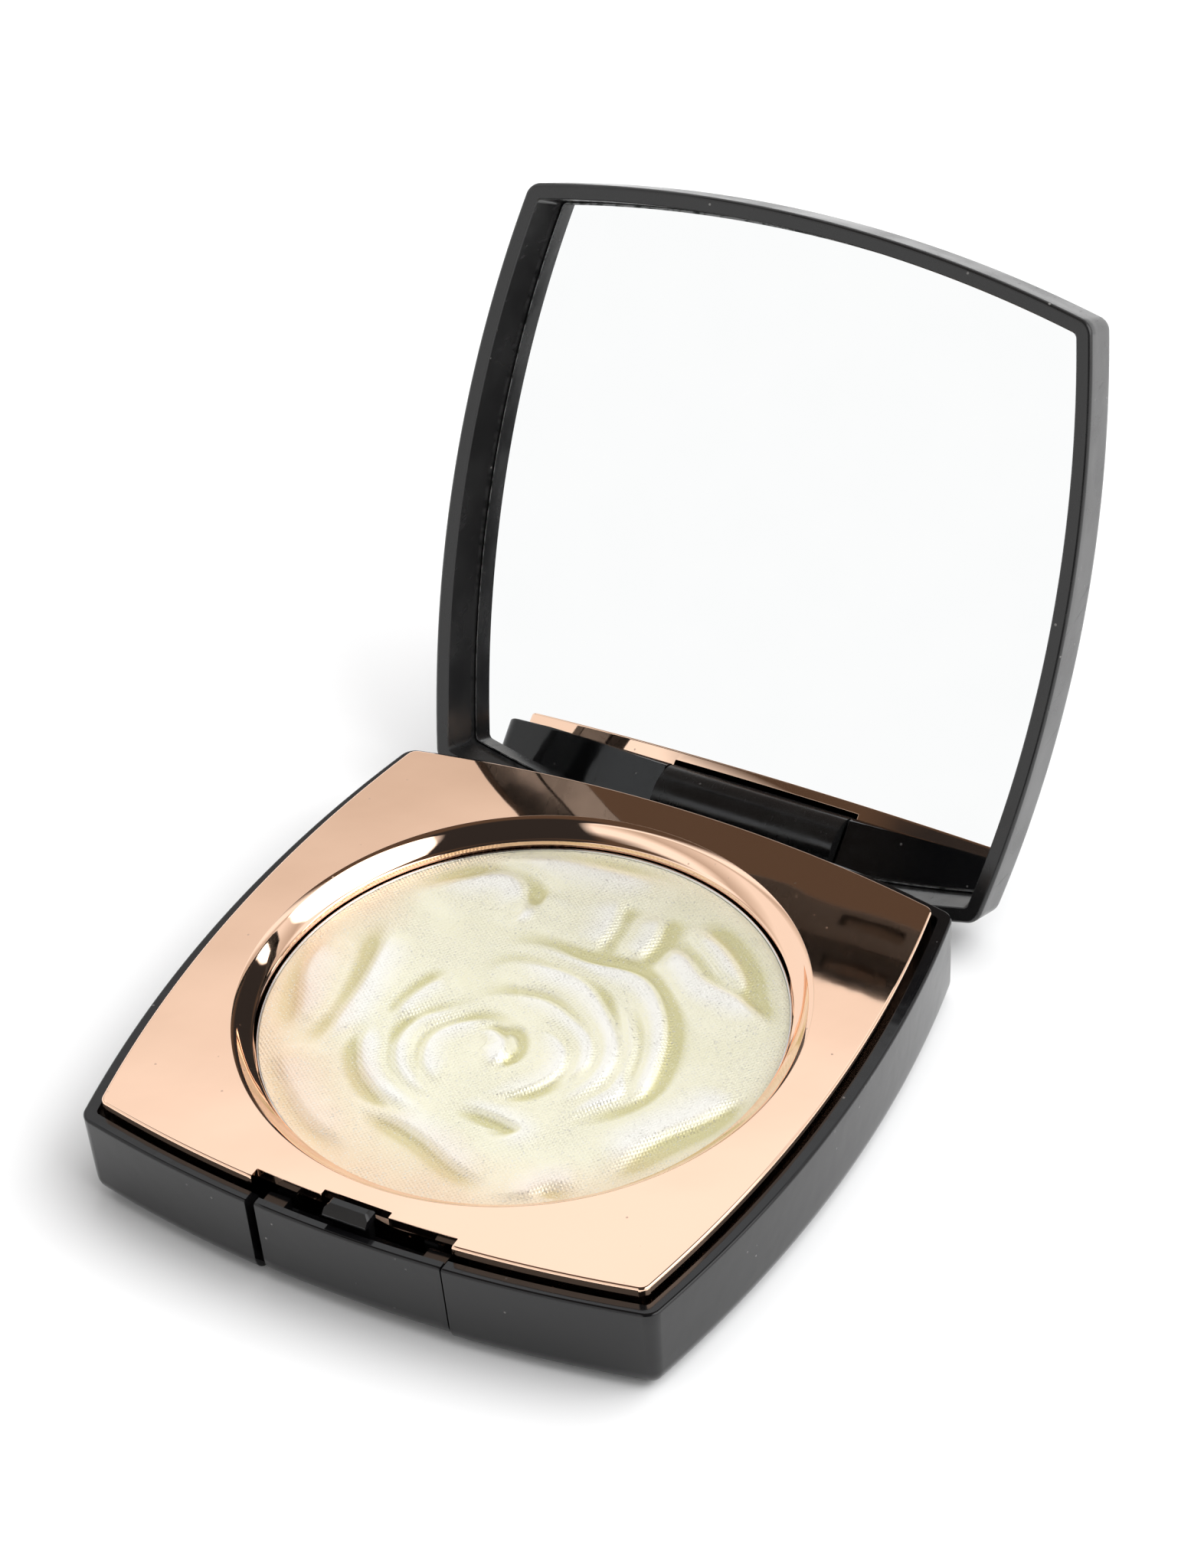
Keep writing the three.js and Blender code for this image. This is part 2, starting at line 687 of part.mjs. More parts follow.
const glassBottom = mirrorFace;
lidPiece(
  'mirror_glass',
  loft([
    [trayInset + mirrorGap + 0.15, glassBottom, trayCorner],
    [trayInset + mirrorGap, glassBottom + 0.15, trayCorner],
    [trayInset + mirrorGap, glassBottom + glassThickness, trayCorner],
  ]),
  glass,
);
const tapeBottom = glassBottom + glassThickness + bedGap;
lidPiece(
  'mirror_tape',
  loft([
    [trayInset + tapeInset, tapeBottom, trayCorner],
    [trayInset + tapeInset, tapeBottom + tapeThickness, trayCorner],
  ]),
  tape,
);

export default group;
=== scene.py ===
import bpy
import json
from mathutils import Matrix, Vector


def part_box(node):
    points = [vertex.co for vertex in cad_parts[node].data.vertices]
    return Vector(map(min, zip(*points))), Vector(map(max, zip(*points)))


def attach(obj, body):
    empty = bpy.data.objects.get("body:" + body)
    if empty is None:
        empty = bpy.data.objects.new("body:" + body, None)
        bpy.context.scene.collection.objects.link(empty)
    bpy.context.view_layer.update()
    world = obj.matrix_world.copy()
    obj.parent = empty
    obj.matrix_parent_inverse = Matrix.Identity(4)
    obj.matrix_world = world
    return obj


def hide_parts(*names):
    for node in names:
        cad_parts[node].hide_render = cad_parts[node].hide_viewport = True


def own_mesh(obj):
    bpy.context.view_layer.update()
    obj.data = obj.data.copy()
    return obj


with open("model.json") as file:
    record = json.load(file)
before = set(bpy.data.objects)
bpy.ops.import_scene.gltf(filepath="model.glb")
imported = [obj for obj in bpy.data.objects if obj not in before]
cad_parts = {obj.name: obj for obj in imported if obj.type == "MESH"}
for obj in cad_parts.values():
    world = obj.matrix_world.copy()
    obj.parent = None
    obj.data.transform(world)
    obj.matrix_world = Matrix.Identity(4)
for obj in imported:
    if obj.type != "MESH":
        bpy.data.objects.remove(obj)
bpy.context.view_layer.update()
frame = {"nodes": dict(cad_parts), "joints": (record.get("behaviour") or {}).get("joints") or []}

import json
import math

import bpy
import numpy as np
from mathutils import Matrix, Vector

# ---------------------------------------------------------------- base shell
# The lower half of the case, injection moulded in gloss black ABS. Its four walls are shallow arcs
# with tight corners, and its rim is a narrow land round a ledge that the plated deck drops onto.
MM = 0.001
HALF_WIDTH = 39.0
HALF_DEPTH = 38.35
SIDE_BOW = 158.0
FRONT_BOW = 160.0
CORNER = 2.0
RIM_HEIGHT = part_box("base_shell")[1].z / MM
BASE_DRAFT = 0.5
BASE_EDGE = 2.6
RIM_LAND = 1.5
RIM_BREAK = 0.35
WALL_DEPTH = 2.6
FLOOR = 1.4
FRONT_GAP = 12.05
REAR_GAP = 12.1
HINGE_Y = HALF_DEPTH - 3.03
HINGE_DROP = 4.34
HINGE_Z = RIM_HEIGHT - HINGE_DROP
SWING_RADIUS = HINGE_DROP - 0.12     # the rear rim and the lid's drum are both rounded to this
BORE_RADIUS = 0.85
EAR_END = REAR_GAP + 5.2
EDGE_STEPS = 8                       # levels in the rounded edge at the base's foot
DECK_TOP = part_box("deck_plate")[1].z / MM
DECK_SKIRT = 3.05
LEDGE = DECK_TOP - DECK_SKIRT - 0.03
SIDE_STEPS = 56
CORNER_STEPS = 14
BUTTON_WALL = 1.2                    # the latch button's face, which the front gap leaves room for
BUTTON_TRAVEL = 0.7
FLANGE_DEPTH = 1.9


def bowed_square(inset, corner=None):
    """Points round the case seen from above: four arcs, and corner arcs that touch both neighbours.
    The corner centre is where its distance to each side arc's centre is that radius less its own."""
    r = max(CORNER - inset if corner is None else corner, 0.4)
    w, d = HALF_WIDTH - inset, HALF_DEPTH - inset
    rw, rd = SIDE_BOW - inset, FRONT_BOW - inset
    centre = np.array([w - r - 3, d - r - 3])
    for _ in range(20):     # Newton's method, from a start a little inside
        to_side = np.array([centre[0] + rw - w, centre[1]])
        to_front = np.array([centre[0], centre[1] + rd - d])
        la, lb = np.linalg.norm(to_side), np.linalg.norm(to_front)
        slopes = np.array([to_side / la, to_front / lb])
        centre -= np.linalg.solve(slopes, [la - (rw - r), lb - (rd - r)])
    cx, cy = centre
    side = math.atan2(cy, cx + rw - w)
    front = math.atan2(cx, cy + rd - d)
    q = math.pi / 2
    arcs = []
    for turn in range(4):
        even = turn % 2 == 0
        reach, bow, half = (w, rw, side) if even else (d, rd, front)
        other = front if even else side
        a = np.linspace(-half, half, SIDE_STEPS, endpoint=False) + turn * q
        direction = np.array([math.cos(turn * q), math.sin(turn * q)])
        arcs.append((reach - bow) * direction + bow * np.stack([np.cos(a), np.sin(a)], 1))
        a = np.linspace(half, q - other, CORNER_STEPS, endpoint=False) + turn * q
        corner_centre = np.array([cx * (1, -1, -1, 1)[turn], cy * (1, 1, -1, -1)[turn]])
        arcs.append(corner_centre + r * np.stack([np.cos(a), np.sin(a)], 1))
    return np.concatenate(arcs)


def closed_piece(name, points, faces):
    """A mesh object at the origin from points in mm and lists of corner numbers."""
    mesh = bpy.data.meshes.new(name)
    mesh.from_pydata((np.asarray(points) * MM).tolist(), [], [list(map(int, f)) for f in faces])
    mesh.update()
    piece = bpy.data.objects.new(name, mesh)
    bpy.context.scene.collection.objects.link(piece)
    return piece


def ring_faces(rings, count):
    """Four-cornered faces between neighbouring rings of `count` points, as one array."""
    k, i = np.meshgrid(np.arange(rings - 1), np.arange(count), indexing="ij")
    j = (i + 1) % count
    corners = (k * count + i, k * count + j, (k + 1) * count + j, (k + 1) * count + i)
    return np.stack(corners, -1).reshape(-1, 4)


def loft(name, levels):
    """A solid through level outlines given as (inset, z) or (inset, z, corner), from the bottom up."""
    outlines = [bowed_square(inset, *corner) for inset, z, *corner in levels]
    heights = [level[1] for level in levels]
    count = len(outlines[0])
    rings = [np.column_stack([outline, np.full(count, z)]) for outline, z in zip(outlines, heights)]
    last = (len(rings) - 1) * count
    caps = [np.arange(count)[::-1], last + np.arange(count)]
    return closed_piece(name, np.concatenate(rings), [*ring_faces(len(rings), count), *caps])


def block(name, low, high):
    """A box between two corners."""
    corners = np.array([[x, y, z] for z in (0, 1) for y in (0, 1) for x in (0, 1)])
    points = np.array(low) + corners * (np.array(high) - np.array(low))
    faces = [(0, 2, 3, 1), (4, 5, 7, 6), (0, 1, 5, 4), (2, 6, 7, 3), (0, 4, 6, 2), (1, 3, 7, 5)]
    return closed_piece(name, points, faces)


def bar_along_x(name, section, x0, x1):
    """A prism along X whose section is a closed run of (y, z) points, anticlockwise seen from +X."""
    section = np.asarray(section, float)
    count = len(section)
    points = np.concatenate([np.column_stack([np.full(count, x), section]) for x in (x0, x1)])
    caps = [np.arange(count)[::-1], count + np.arange(count)]
    return closed_piece(name, points, [*ring_faces(2, count), *caps])


def circle(radius, y, z, steps):
    """A circle's (y, z) points, anticlockwise seen from +X."""
    a = np.linspace(0, 2 * math.pi, steps, endpoint=False)
    return np.column_stack([y + radius * np.cos(a), z + radius * np.sin(a)])


def settle(piece):
    """Works the piece's modifiers into its mesh."""
    evaluated = piece.evaluated_get(bpy.context.evaluated_depsgraph_get())
    result = bpy.data.meshes.new_from_object(evaluated)
    piece.modifiers.clear()
    piece.data = result


def combine(piece, other, how="DIFFERENCE"):
    """Cuts `other` from the piece, or joins or crosses the two, and throws `other` away."""
    cut = piece.modifiers.new("cut", "BOOLEAN")
    cut.operation = how
    cut.solver = "EXACT"
    cut.object = other
    settle(piece)
    bpy.data.objects.remove(other)
    return piece


def soften(piece, width, limit=32):
    """Breaks the piece's sharp edges by `width` mm and shades the rest smooth."""
    edge = piece.modifiers.new("edge", "BEVEL")
    edge.width = width * MM
    edge.segments = 2
    edge.limit_method = "ANGLE"
    edge.angle_limit = math.radians(limit)
    edge.miter_outer = "MITER_ARC"
    settle(piece)
    smooth(piece, 40)


def smooth(piece, limit):
    """Shades smooth, except across edges sharper than `limit` degrees. Large flat faces keep their own
    direction and the narrow rounded ones between them take the turn, as on a real moulding."""
    piece.data.polygons.foreach_set("use_smooth", np.ones(len(piece.data.polygons), bool))
    piece.data.set_sharp_from_angle(angle=math.radians(limit))
    weighted = piece.modifiers.new("weighted", "WEIGHTED_NORMAL")
    weighted.keep_sharp = True
    weighted.weight = 100
    settle(piece)


def draft_at(z):
    """How far the base's outer wall is drawn in at a height."""
    return BASE_DRAFT * (RIM_HEIGHT - z) / RIM_HEIGHT


def front_y(x, inset):
    """The y of the front face at x, for an outline drawn in by `inset`."""
    radius = FRONT_BOW - inset
    return radius - (HALF_DEPTH - inset) - math.sqrt(radius * radius - x * x)


def quarter(steps):
    """Pairs (1 - cos, 1 - sin) through a quarter turn, for a rounded edge."""
    a = np.linspace(0, math.pi / 2, steps + 1)
    return list(zip(1 - np.cos(a), 1 - np.sin(a)))


base_levels = []
for back, up in quarter(EDGE_STEPS):
    z = BASE_EDGE * back
    base_levels.append((draft_at(z) + BASE_EDGE * up, z))
base_levels += [(draft_at(z), z) for z in np.linspace(BASE_EDGE, RIM_HEIGHT - RIM_BREAK, 6)[1:]]
base_levels += [(RIM_BREAK * back, RIM_HEIGHT - RIM_BREAK * up) for back, up in quarter(4)[1:]]
base = loft("base_case", base_levels)
combine(base, loft("cavity", [(WALL_DEPTH, FLOOR, 0.8), (WALL_DEPTH, LEDGE + 0.01, 0.8)]))
combine(base, loft("pocket", [(RIM_LAND, LEDGE, 0.7), (RIM_LAND, RIM_HEIGHT + 1, 0.7)]))
button_back = front_y(FRONT_GAP, 0) + BUTTON_WALL + BASE_DRAFT + BUTTON_TRAVEL + 0.15
OVER = RIM_HEIGHT + 1     # above everything that the gaps cut away
combine(base, block("front gap", (-FRONT_GAP, -HALF_DEPTH - 1, -1), (FRONT_GAP, button_back, OVER)))
combine(base, block("ledge gap", (-FRONT_GAP, button_back - 0.1, FLOOR), (FRONT_GAP, -31, OVER)))
combine(base, block("rear gap", (-REAR_GAP, HINGE_Y - 1.5, FLOOR), (REAR_GAP, HALF_DEPTH + 1, OVER)))
# The rear rim is rounded about the hinge line, so that the lid swings past it.
swing = block("swing", (-HALF_WIDTH - 1, HINGE_Y, HINGE_Z), (HALF_WIDTH + 1, HALF_DEPTH + 1, OVER))
rounded = circle(SWING_RADIUS, HINGE_Y, HINGE_Z, 96)
combine(swing, bar_along_x("rounded", rounded, -HALF_WIDTH - 2, HALF_WIDTH + 2))
combine(base, swing)
# Ears for the hinge pins at the rear, and posts for the springs behind the button.
flange_back = front_y(0, 0) + BUTTON_WALL + FLANGE_DEPTH + 0.3
for side in (-1, 1):
    ear = sorted([side * (REAR_GAP + 0.01), side * EAR_END])
    ear_low = (ear[0], HINGE_Y - 2.8, FLOOR - 0.2)
    ear_high = (ear[1], HALF_DEPTH - WALL_DEPTH + 0.2, LEDGE - 0.25)
    combine(base, block("ear", ear_low, ear_high), "UNION")
    post = sorted([side * (FRONT_GAP - 4.2), side * (FRONT_GAP - 1.85)])
    post_y = flange_back + 0.72
    post_high = (post[1], post_y + 0.9, RIM_HEIGHT - 0.6)
    combine(base, block("post", (post[0], post_y, FLOOR - 0.2), post_high), "UNION")
combine(base, bar_along_x("ear bore", circle(BORE_RADIUS, HINGE_Y, HINGE_Z, 24), -EAR_END, EAR_END))
soften(base, 0.1)


def group_of(name, inputs, outputs):
    """An empty shader group with named sockets; returns it with its input and output nodes."""
    group = bpy.data.node_groups.new(name, "ShaderNodeTree")
    for label, kind, value in inputs:
        socket = group.interface.new_socket(label, in_out="INPUT", socket_type=kind)
        if value is not None:
            socket.default_value = value
    for label, kind in outputs:
        group.interface.new_socket(label, in_out="OUTPUT", socket_type=kind)
    return group, group.nodes.new("NodeGroupInput"), group.nodes.new("NodeGroupOutput")


def add(tree, kind, links=(), **settings):
    """A node with its settings, and its inputs given as values or as sockets to link from."""
    node = tree.nodes.new(kind)
    for key, value in settings.items():
        setattr(node, key, value)
    for key, value in dict(links).items():
        socket = node.inputs[key]
        if isinstance(value, bpy.types.NodeSocket):
            tree.links.new(value, socket)
        else:
            socket.default_value = value
    return node


def sums(tree, operation, a, b, c=None):
    """The result of one Math node."""
    inputs = {0: a, 1: b} if c is None else {0: a, 1: b, 2: c}
    return add(tree, "ShaderNodeMath", inputs, operation=operation).outputs[0]


def ranged(tree, value, low, high, to_low=0.0, to_high=1.0):
    """The value stretched from one range to another, and held at its ends."""
    links = {"Value": value, "From Min": low, "From Max": high, "To Min": to_low, "To Max": to_high}
    return add(tree, "ShaderNodeMapRange", links).outputs["Result"]


def blended(tree, share, first, second):
    """A colour between two, by a share from 0 to 1."""
    node = add(tree, "ShaderNodeMix", data_type="RGBA")
    for socket, value in ((node.inputs[0], share), (node.inputs[6], first), (node.inputs[7], second)):
        if isinstance(value, bpy.types.NodeSocket):
            tree.links.new(value, socket)
        else:
            socket.default_value = value if socket is node.inputs[0] else (*value, 1)
    return node.outputs[2]


# Handling marks: hairline scratches that cross in two directions, and dust that settles as specks.
marks, marks_in, marks_out = group_of(
    "handling marks",
    [
        ("Position", "NodeSocketVector", None),
        ("Scratches", "NodeSocketFloat", 1.0),
        ("Dust", "NodeSocketFloat", 1.0),
    ],
    [("Scratch", "NodeSocketFloat"), ("Dust", "NodeSocketFloat"), ("Cloud", "NodeSocketFloat")],
)
where = marks_in.outputs["Position"]
lines = []
for angle in (0.4, 1.9):
    drawn_out = {"Vector": where, "Rotation": (0.3, 0.2, angle), "Scale": (2600, 60, 900)}
    stretched = add(marks, "ShaderNodeMapping", drawn_out).outputs[0]
    streak = add(marks, "ShaderNodeTexNoise", {"Vector": stretched, "Scale": 1.0, "Detail": 1.0})
    lines.append(ranged(marks, streak.outputs[0], 0.70, 0.76))
both = sums(marks, "MAXIMUM", *lines)
scratch = sums(marks, "MULTIPLY", both, marks_in.outputs["Scratches"])
specks = add(marks, "ShaderNodeTexVoronoi", {"Vector": where, "Scale": 900.0})
chance = add(marks, "ShaderNodeSeparateColor", {0: specks.outputs["Color"]}).outputs[0]
rare = ranged(marks, chance, 0.93, 0.96)
speck = sums(marks, "MULTIPLY", ranged(marks, specks.outputs["Distance"], 0.16, 0.10), rare)
dust = sums(marks, "MULTIPLY", speck, marks_in.outputs["Dust"])
cloud = add(marks, "ShaderNodeTexNoise", {"Vector": where, "Scale": 140.0, "Detail": 3.0})
marks.links.new(scratch, marks_out.inputs["Scratch"])
marks.links.new(dust, marks_out.inputs["Dust"])
marks.links.new(cloud.outputs[0], marks_out.inputs["Cloud"])


def new_material(name):
    """A node material; returns it with its tree, its shader and its Object coordinates."""
    material = bpy.data.materials.new(name)
    material.use_nodes = True
    tree = material.node_tree
    place = tree.nodes.new("ShaderNodeTexCoord").outputs["Object"]
    return material, tree, tree.nodes["Principled BSDF"], place


def marked(tree, place, scratches, dust):
    """The handling marks' three outputs for a material."""
    node = add(tree, "ShaderNodeGroup", node_tree=marks)
    tree.links.new(place, node.inputs["Position"])
    node.inputs["Scratches"].default_value = scratches
    node.inputs["Dust"].default_value = dust
    return node.outputs


def moulded_black(name, roughness, dust, black=(0.0030, 0.0030, 0.0036), pale=(0.0062, 0.0060, 0.0064)):
    """Black ABS: a faint orange peel from the tool, cloudy gloss, hairlines and a little dust."""
    material, tree, shader, place = new_material(name)
    mark = marked(tree, place, 0.5, dust)
    body = blended(tree, mark["Cloud"], black, pale)
    tree.links.new(blended(tree, mark["Dust"], body, (0.30, 0.29, 0.28)), shader.inputs["Base Color"])
    cloudy = ranged(tree, mark["Cloud"], 0.35, 0.65, roughness * 0.75, roughness * 1.25)
    worn = sums(tree, "MULTIPLY_ADD", mark["Scratch"], 0.16, cloudy)
    tree.links.new(sums(tree, "MULTIPLY_ADD", mark["Dust"], 0.5, worn), shader.inputs["Roughness"])
    peel = add(tree, "ShaderNodeTexNoise", {"Vector": place, "Scale": 420.0, "Detail": 1.0})
    relief = sums(tree, "MULTIPLY_ADD", mark["Scratch"], -0.15, peel.outputs[0])
    bump = add(tree, "ShaderNodeBump", {"Height": relief, "Strength": 0.05, "Distance": 0.0004})
    tree.links.new(bump.outputs[0], shader.inputs["Normal"])
    shader.inputs["IOR"].default_value = 1.46
    return material


gloss_black = moulded_black("gloss black ABS", 0.10, 0.35)
base.data.materials.append(gloss_black)
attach(base, "base")
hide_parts("base_shell")

# ---------------------------------------------------------------- bottom label
# A round paper disc stuck in a shallow recess under the case. It has a thin dark ring near its edge
# and no words.
label_paper, tree, shader, place = new_material("label paper")
fibres = add(tree, "ShaderNodeTexNoise", {"Vector": place, "Scale": 2400.0, "Detail": 4.0})
from_middle = add(tree, "ShaderNodeVectorMath", {0: place}, operation="LENGTH").outputs["Value"]
border = sums(tree, "COMPARE", from_middle, 0.0226, 0.0003)     # a thin dark ring, in metres
sheet_colour = blended(tree, fibres.outputs[0], (0.66, 0.66, 0.65), (0.80, 0.80, 0.79))
tree.links.new(blended(tree, border, sheet_colour, (0.10, 0.09, 0.09)), shader.inputs["Base Color"])
fuzz = add(tree, "ShaderNodeBump", {"Height": fibres.outputs[0], "Strength": 0.2, "Distance": 0.0001})
tree.links.new(fuzz.outputs[0], shader.inputs["Normal"])
shader.inputs["Roughness"].default_value = 0.55
frame["nodes"]["bottom_label"].data.materials[0] = label_paper

# ---------------------------------------------------------------- hinge pins and latch springs
# Two straight steel pins pressed in through the ears and the lid's knuckle, and two small coil
# springs of the same bright wire behind the latch.
drawn_steel, tree, shader, place = new_material("drawn steel")
along = add(tree, "ShaderNodeMapping", {"Vector": place, "Scale": (300, 4000, 4000)})
grain = add(tree, "ShaderNodeTexNoise", {"Vector": along.outputs[0], "Scale": 1.0, "Detail": 3.0})
steel = blended(tree, grain.outputs[0], (0.42, 0.42, 0.44), (0.62, 0.62, 0.64))
tree.links.new(steel, shader.inputs["Base Color"])
tree.links.new(ranged(tree, grain.outputs[0], 0.3, 0.7, 0.18, 0.36), shader.inputs["Roughness"])
shader.inputs["Metallic"].default_value = 1.0
for node in ("hinge_pin_left", "hinge_pin_right"):
    frame["nodes"][node].data.materials[0] = drawn_steel
WIRE = 0.22         # the wire's radius
COIL_RADIUS = 1.2
COIL_TURNS = 4
WIRE_SIDES = 12


def coil_spring(name, x, y0, y1, z, radius):
    """A round wire carried along a helix about Y. At share t the wire's middle is `radius` less the
    wire's own from the axis, at 2 pi times the turns times t. Its rings stand square to the helix."""
    t = np.linspace(0, 1, COIL_TURNS * 36 + 1)
    theta = 2 * math.pi * COIL_TURNS * t
    spread = radius - WIRE
    outwards = np.stack([np.cos(theta), np.zeros_like(t), np.sin(theta)], 1)
    middle = [x, 0, z] + spread * outwards
    middle[:, 1] = y0 + WIRE + (y1 - y0 - 2 * WIRE) * t
    ahead = np.gradient(middle, axis=0)
    ahead /= np.linalg.norm(ahead, axis=1, keepdims=True)
    sideways = np.cross(ahead, outwards)
    a = np.linspace(0, 2 * math.pi, WIRE_SIDES, endpoint=False)[:, None]
    rings = middle[:, None] + WIRE * (np.cos(a) * outwards[:, None] + np.sin(a) * sideways[:, None])
    last = (len(t) - 1) * WIRE_SIDES
    caps = [np.arange(WIRE_SIDES)[::-1], last + np.arange(WIRE_SIDES)]
    return closed_piece(name, rings.reshape(-1, 3), [*ring_faces(len(t), WIRE_SIDES), *caps])


for node in ("latch_spring_left", "latch_spring_right"):
    low, high = (np.array(corner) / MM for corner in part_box(node))
    centre = (low + high) / 2
    coil = node.replace("latch_spring", "coil")
    spring = coil_spring(coil, centre[0], low[1], high[1], centre[2], COIL_RADIUS)
    smooth(spring, 60)
    spring.data.materials.append(drawn_steel)
    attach(spring, "base")
    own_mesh(spring)
    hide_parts(node)

# ---------------------------------------------------------------- deck plate
# The plate round the powder, moulded in ABS and plated in rose gold, standing proud of the rim. A
# slope runs down from it to the pan's cup, and its front edge is notched over the latch.
DECK_INSET = 2.02
DECK_CORNER = 1.3
DECK_EDGE = 0.3
PAN_RADIUS = 29.3
CUP_RADIUS = PAN_RADIUS + 0.2
STEP_RADIUS = CUP_RADIUS + 0.2
WELL_STEP = 1.75
CONE_RADIUS = STEP_RADIUS + 1.6
WELL_RADIUS = CONE_RADIUS + 0.45
MOUTH_DROP = 0.24
CUP_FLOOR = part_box("pan_glue_disc")[0].z / MM - 0.03
NOTCH_INSET = 1.35


def turned(name, profile, steps=256):
    """A solid turned about Z from (radius, z) points that start and end on the axis, bottom first."""
    a = np.linspace(0, 2 * math.pi, steps, endpoint=False)
    middle = np.array(profile[1:-1])
    radius, z = middle[:, :1], np.repeat(middle[:, 1:], steps, 1)
    rings = np.stack([radius * np.cos(a), radius * np.sin(a), z], -1)
    poles = [[0, 0, profile[0][1]], [0, 0, profile[-1][1]]]
    points = np.concatenate([rings.reshape(-1, 3), poles])
    low, top = len(points) - 2, len(points) - 1
    i = np.arange(steps)
    j = (i + 1) % steps
    last = (len(middle) - 1) * steps
    bottom_fan = np.stack([np.full(steps, low), j, i], -1)
    top_fan = np.stack([np.full(steps, top), last + i, last + j], -1)
    return closed_piece(name, points, [*ring_faces(len(middle), steps), *bottom_fan, *top_fan])


deck_levels = [(DECK_INSET, DECK_TOP - DECK_SKIRT, DECK_CORNER)]
for back, up in quarter(4):
    corner = DECK_CORNER - DECK_EDGE * back
    deck_levels.append((DECK_INSET + DECK_EDGE * back, DECK_TOP - DECK_EDGE * up, corner))
deck = loft("deck", deck_levels)
skirt_inside = DECK_INSET + 1.15
plate_under = DECK_TOP - 1.2
under = [(skirt_inside, DECK_TOP - DECK_SKIRT - 1, 0.7), (skirt_inside, plate_under, 0.7)]
combine(deck, loft("under", under))
# The cup's outside is joined on, then the well is cut through both: mouth, slope, step and bore.
outside = [(0, CUP_FLOOR - 1), (CUP_RADIUS + 1.1, CUP_FLOOR - 1), (CUP_RADIUS + 1.1, DECK_TOP - 2.2),
           (WELL_RADIUS + 1.2, DECK_TOP - 1.5), (WELL_RADIUS + 1.2, DECK_TOP - 0.4), (0, DECK_TOP - 0.4)]
combine(deck, turned("cup", outside), "UNION")
t = np.linspace(0, 1, 9)
bulge = 0.05 * np.sin(math.pi * t)
cone_r = CONE_RADIUS + (STEP_RADIUS - CONE_RADIUS) * t + bulge
cone = np.column_stack([cone_r, DECK_TOP - MOUTH_DROP - (WELL_STEP - MOUTH_DROP) * t - bulge]).tolist()
mouth = [(WELL_RADIUS + 0.04, DECK_TOP + 0.5), (WELL_RADIUS + 0.04, DECK_TOP),
         (WELL_RADIUS, DECK_TOP - 0.01), (WELL_RADIUS - 0.05, DECK_TOP - 0.035)]
step_z = DECK_TOP - WELL_STEP
step = [(CUP_RADIUS, CUP_FLOOR), (CUP_RADIUS, step_z - 0.14), (CUP_RADIUS + 0.06, step_z - 0.07)]
well = [(0, CUP_FLOOR), *step, *cone[::-1], *mouth[::-1], (0, DECK_TOP + 0.5)]
combine(deck, turned("well", well))
# The front edge is set back over the latch, and slotted for the neck of its hook.
half_notch = FRONT_GAP + 0.25
cutter = block("latch notch", (-half_notch, -HALF_DEPTH - 1, 5), (half_notch, -30, DECK_TOP + 1))
notched = DECK_INSET + NOTCH_INSET
kept = loft("kept", [(notched, 4, DECK_CORNER), (notched, DECK_TOP + 2, DECK_CORNER)])
combine(deck, combine(cutter, kept))
slot_back = front_y(0, notched) + 0.85
combine(deck, block("neck slot", (-4.1, -HALF_DEPTH, 5), (4.1, slot_back, DECK_TOP + 1)))
combine(deck, block("skirt gap", (-14.2, -HALF_DEPTH, 5), (14.2, -32.2, plate_under)))
combine(deck, block("knuckle relief", (-REAR_GAP, HINGE_Y - 1, 5), (REAR_GAP, HALF_DEPTH, plate_under)))
soften(deck, 0.1, 50)

plated, tree, shader, place = new_material("rose gold plating")
mark = marked(tree, place, 0.35, 0.5)
tone = add(tree, "ShaderNodeTexNoise", {"Vector": place, "Scale": 45.0, "Detail": 2.0})
gold = blended(tree, tone.outputs[0], (0.975, 0.655, 0.475), (0.995, 0.695, 0.520))
tree.links.new(blended(tree, mark["Dust"], gold, (0.55, 0.40, 0.32)), shader.inputs["Base Color"])
polish = ranged(tree, mark["Cloud"], 0.3, 0.7, 0.02, 0.05)
tree.links.new(sums(tree, "MULTIPLY_ADD", mark["Dust"], 0.4, polish), shader.inputs["Roughness"])
swell = add(tree, "ShaderNodeTexNoise", {"Vector": place, "Scale": 85.0, "Detail": 0.0})
peel = add(tree, "ShaderNodeTexNoise", {"Vector": place, "Scale": 320.0, "Detail": 1.0})
waves = sums(tree, "MULTIPLY_ADD", peel.outputs[0], 0.04, swell.outputs[0])
ripple = add(tree, "ShaderNodeBump", {"Height": waves, "Strength": 0.5, "Distance": 0.00012})
tree.links.new(ripple.outputs[0], shader.inputs["Normal"])
shader.inputs["Metallic"].default_value = 1.0
deck.data.materials.append(plated)
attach(deck, "base")
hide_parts("deck_plate")

# ---------------------------------------------------------------- glue disc and pan
# The pan is a shallow tray pressed from thin aluminium, held in the cup by a disc of soft white
# glue. Only the bright cut edge of its wall shows round the powder.
pan_low, pan_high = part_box("powder_pan")
PAN_TOP = pan_high.z / MM
PAN_BOTTOM = pan_low.z / MM
PAN_WALL = 0.25
PAN_FOOT = 0.6      # radius of the bend at the foot of the wall


def bend(first, last, radius, from_outside, z):
    """Points round an arc of the pan's section, whose centre is `from_outside` mm in from its side."""
    a = np.linspace(first, last, 7)
    return np.column_stack([PAN_RADIUS - from_outside + radius * np.cos(a), z + radius * np.sin(a)]).tolist()


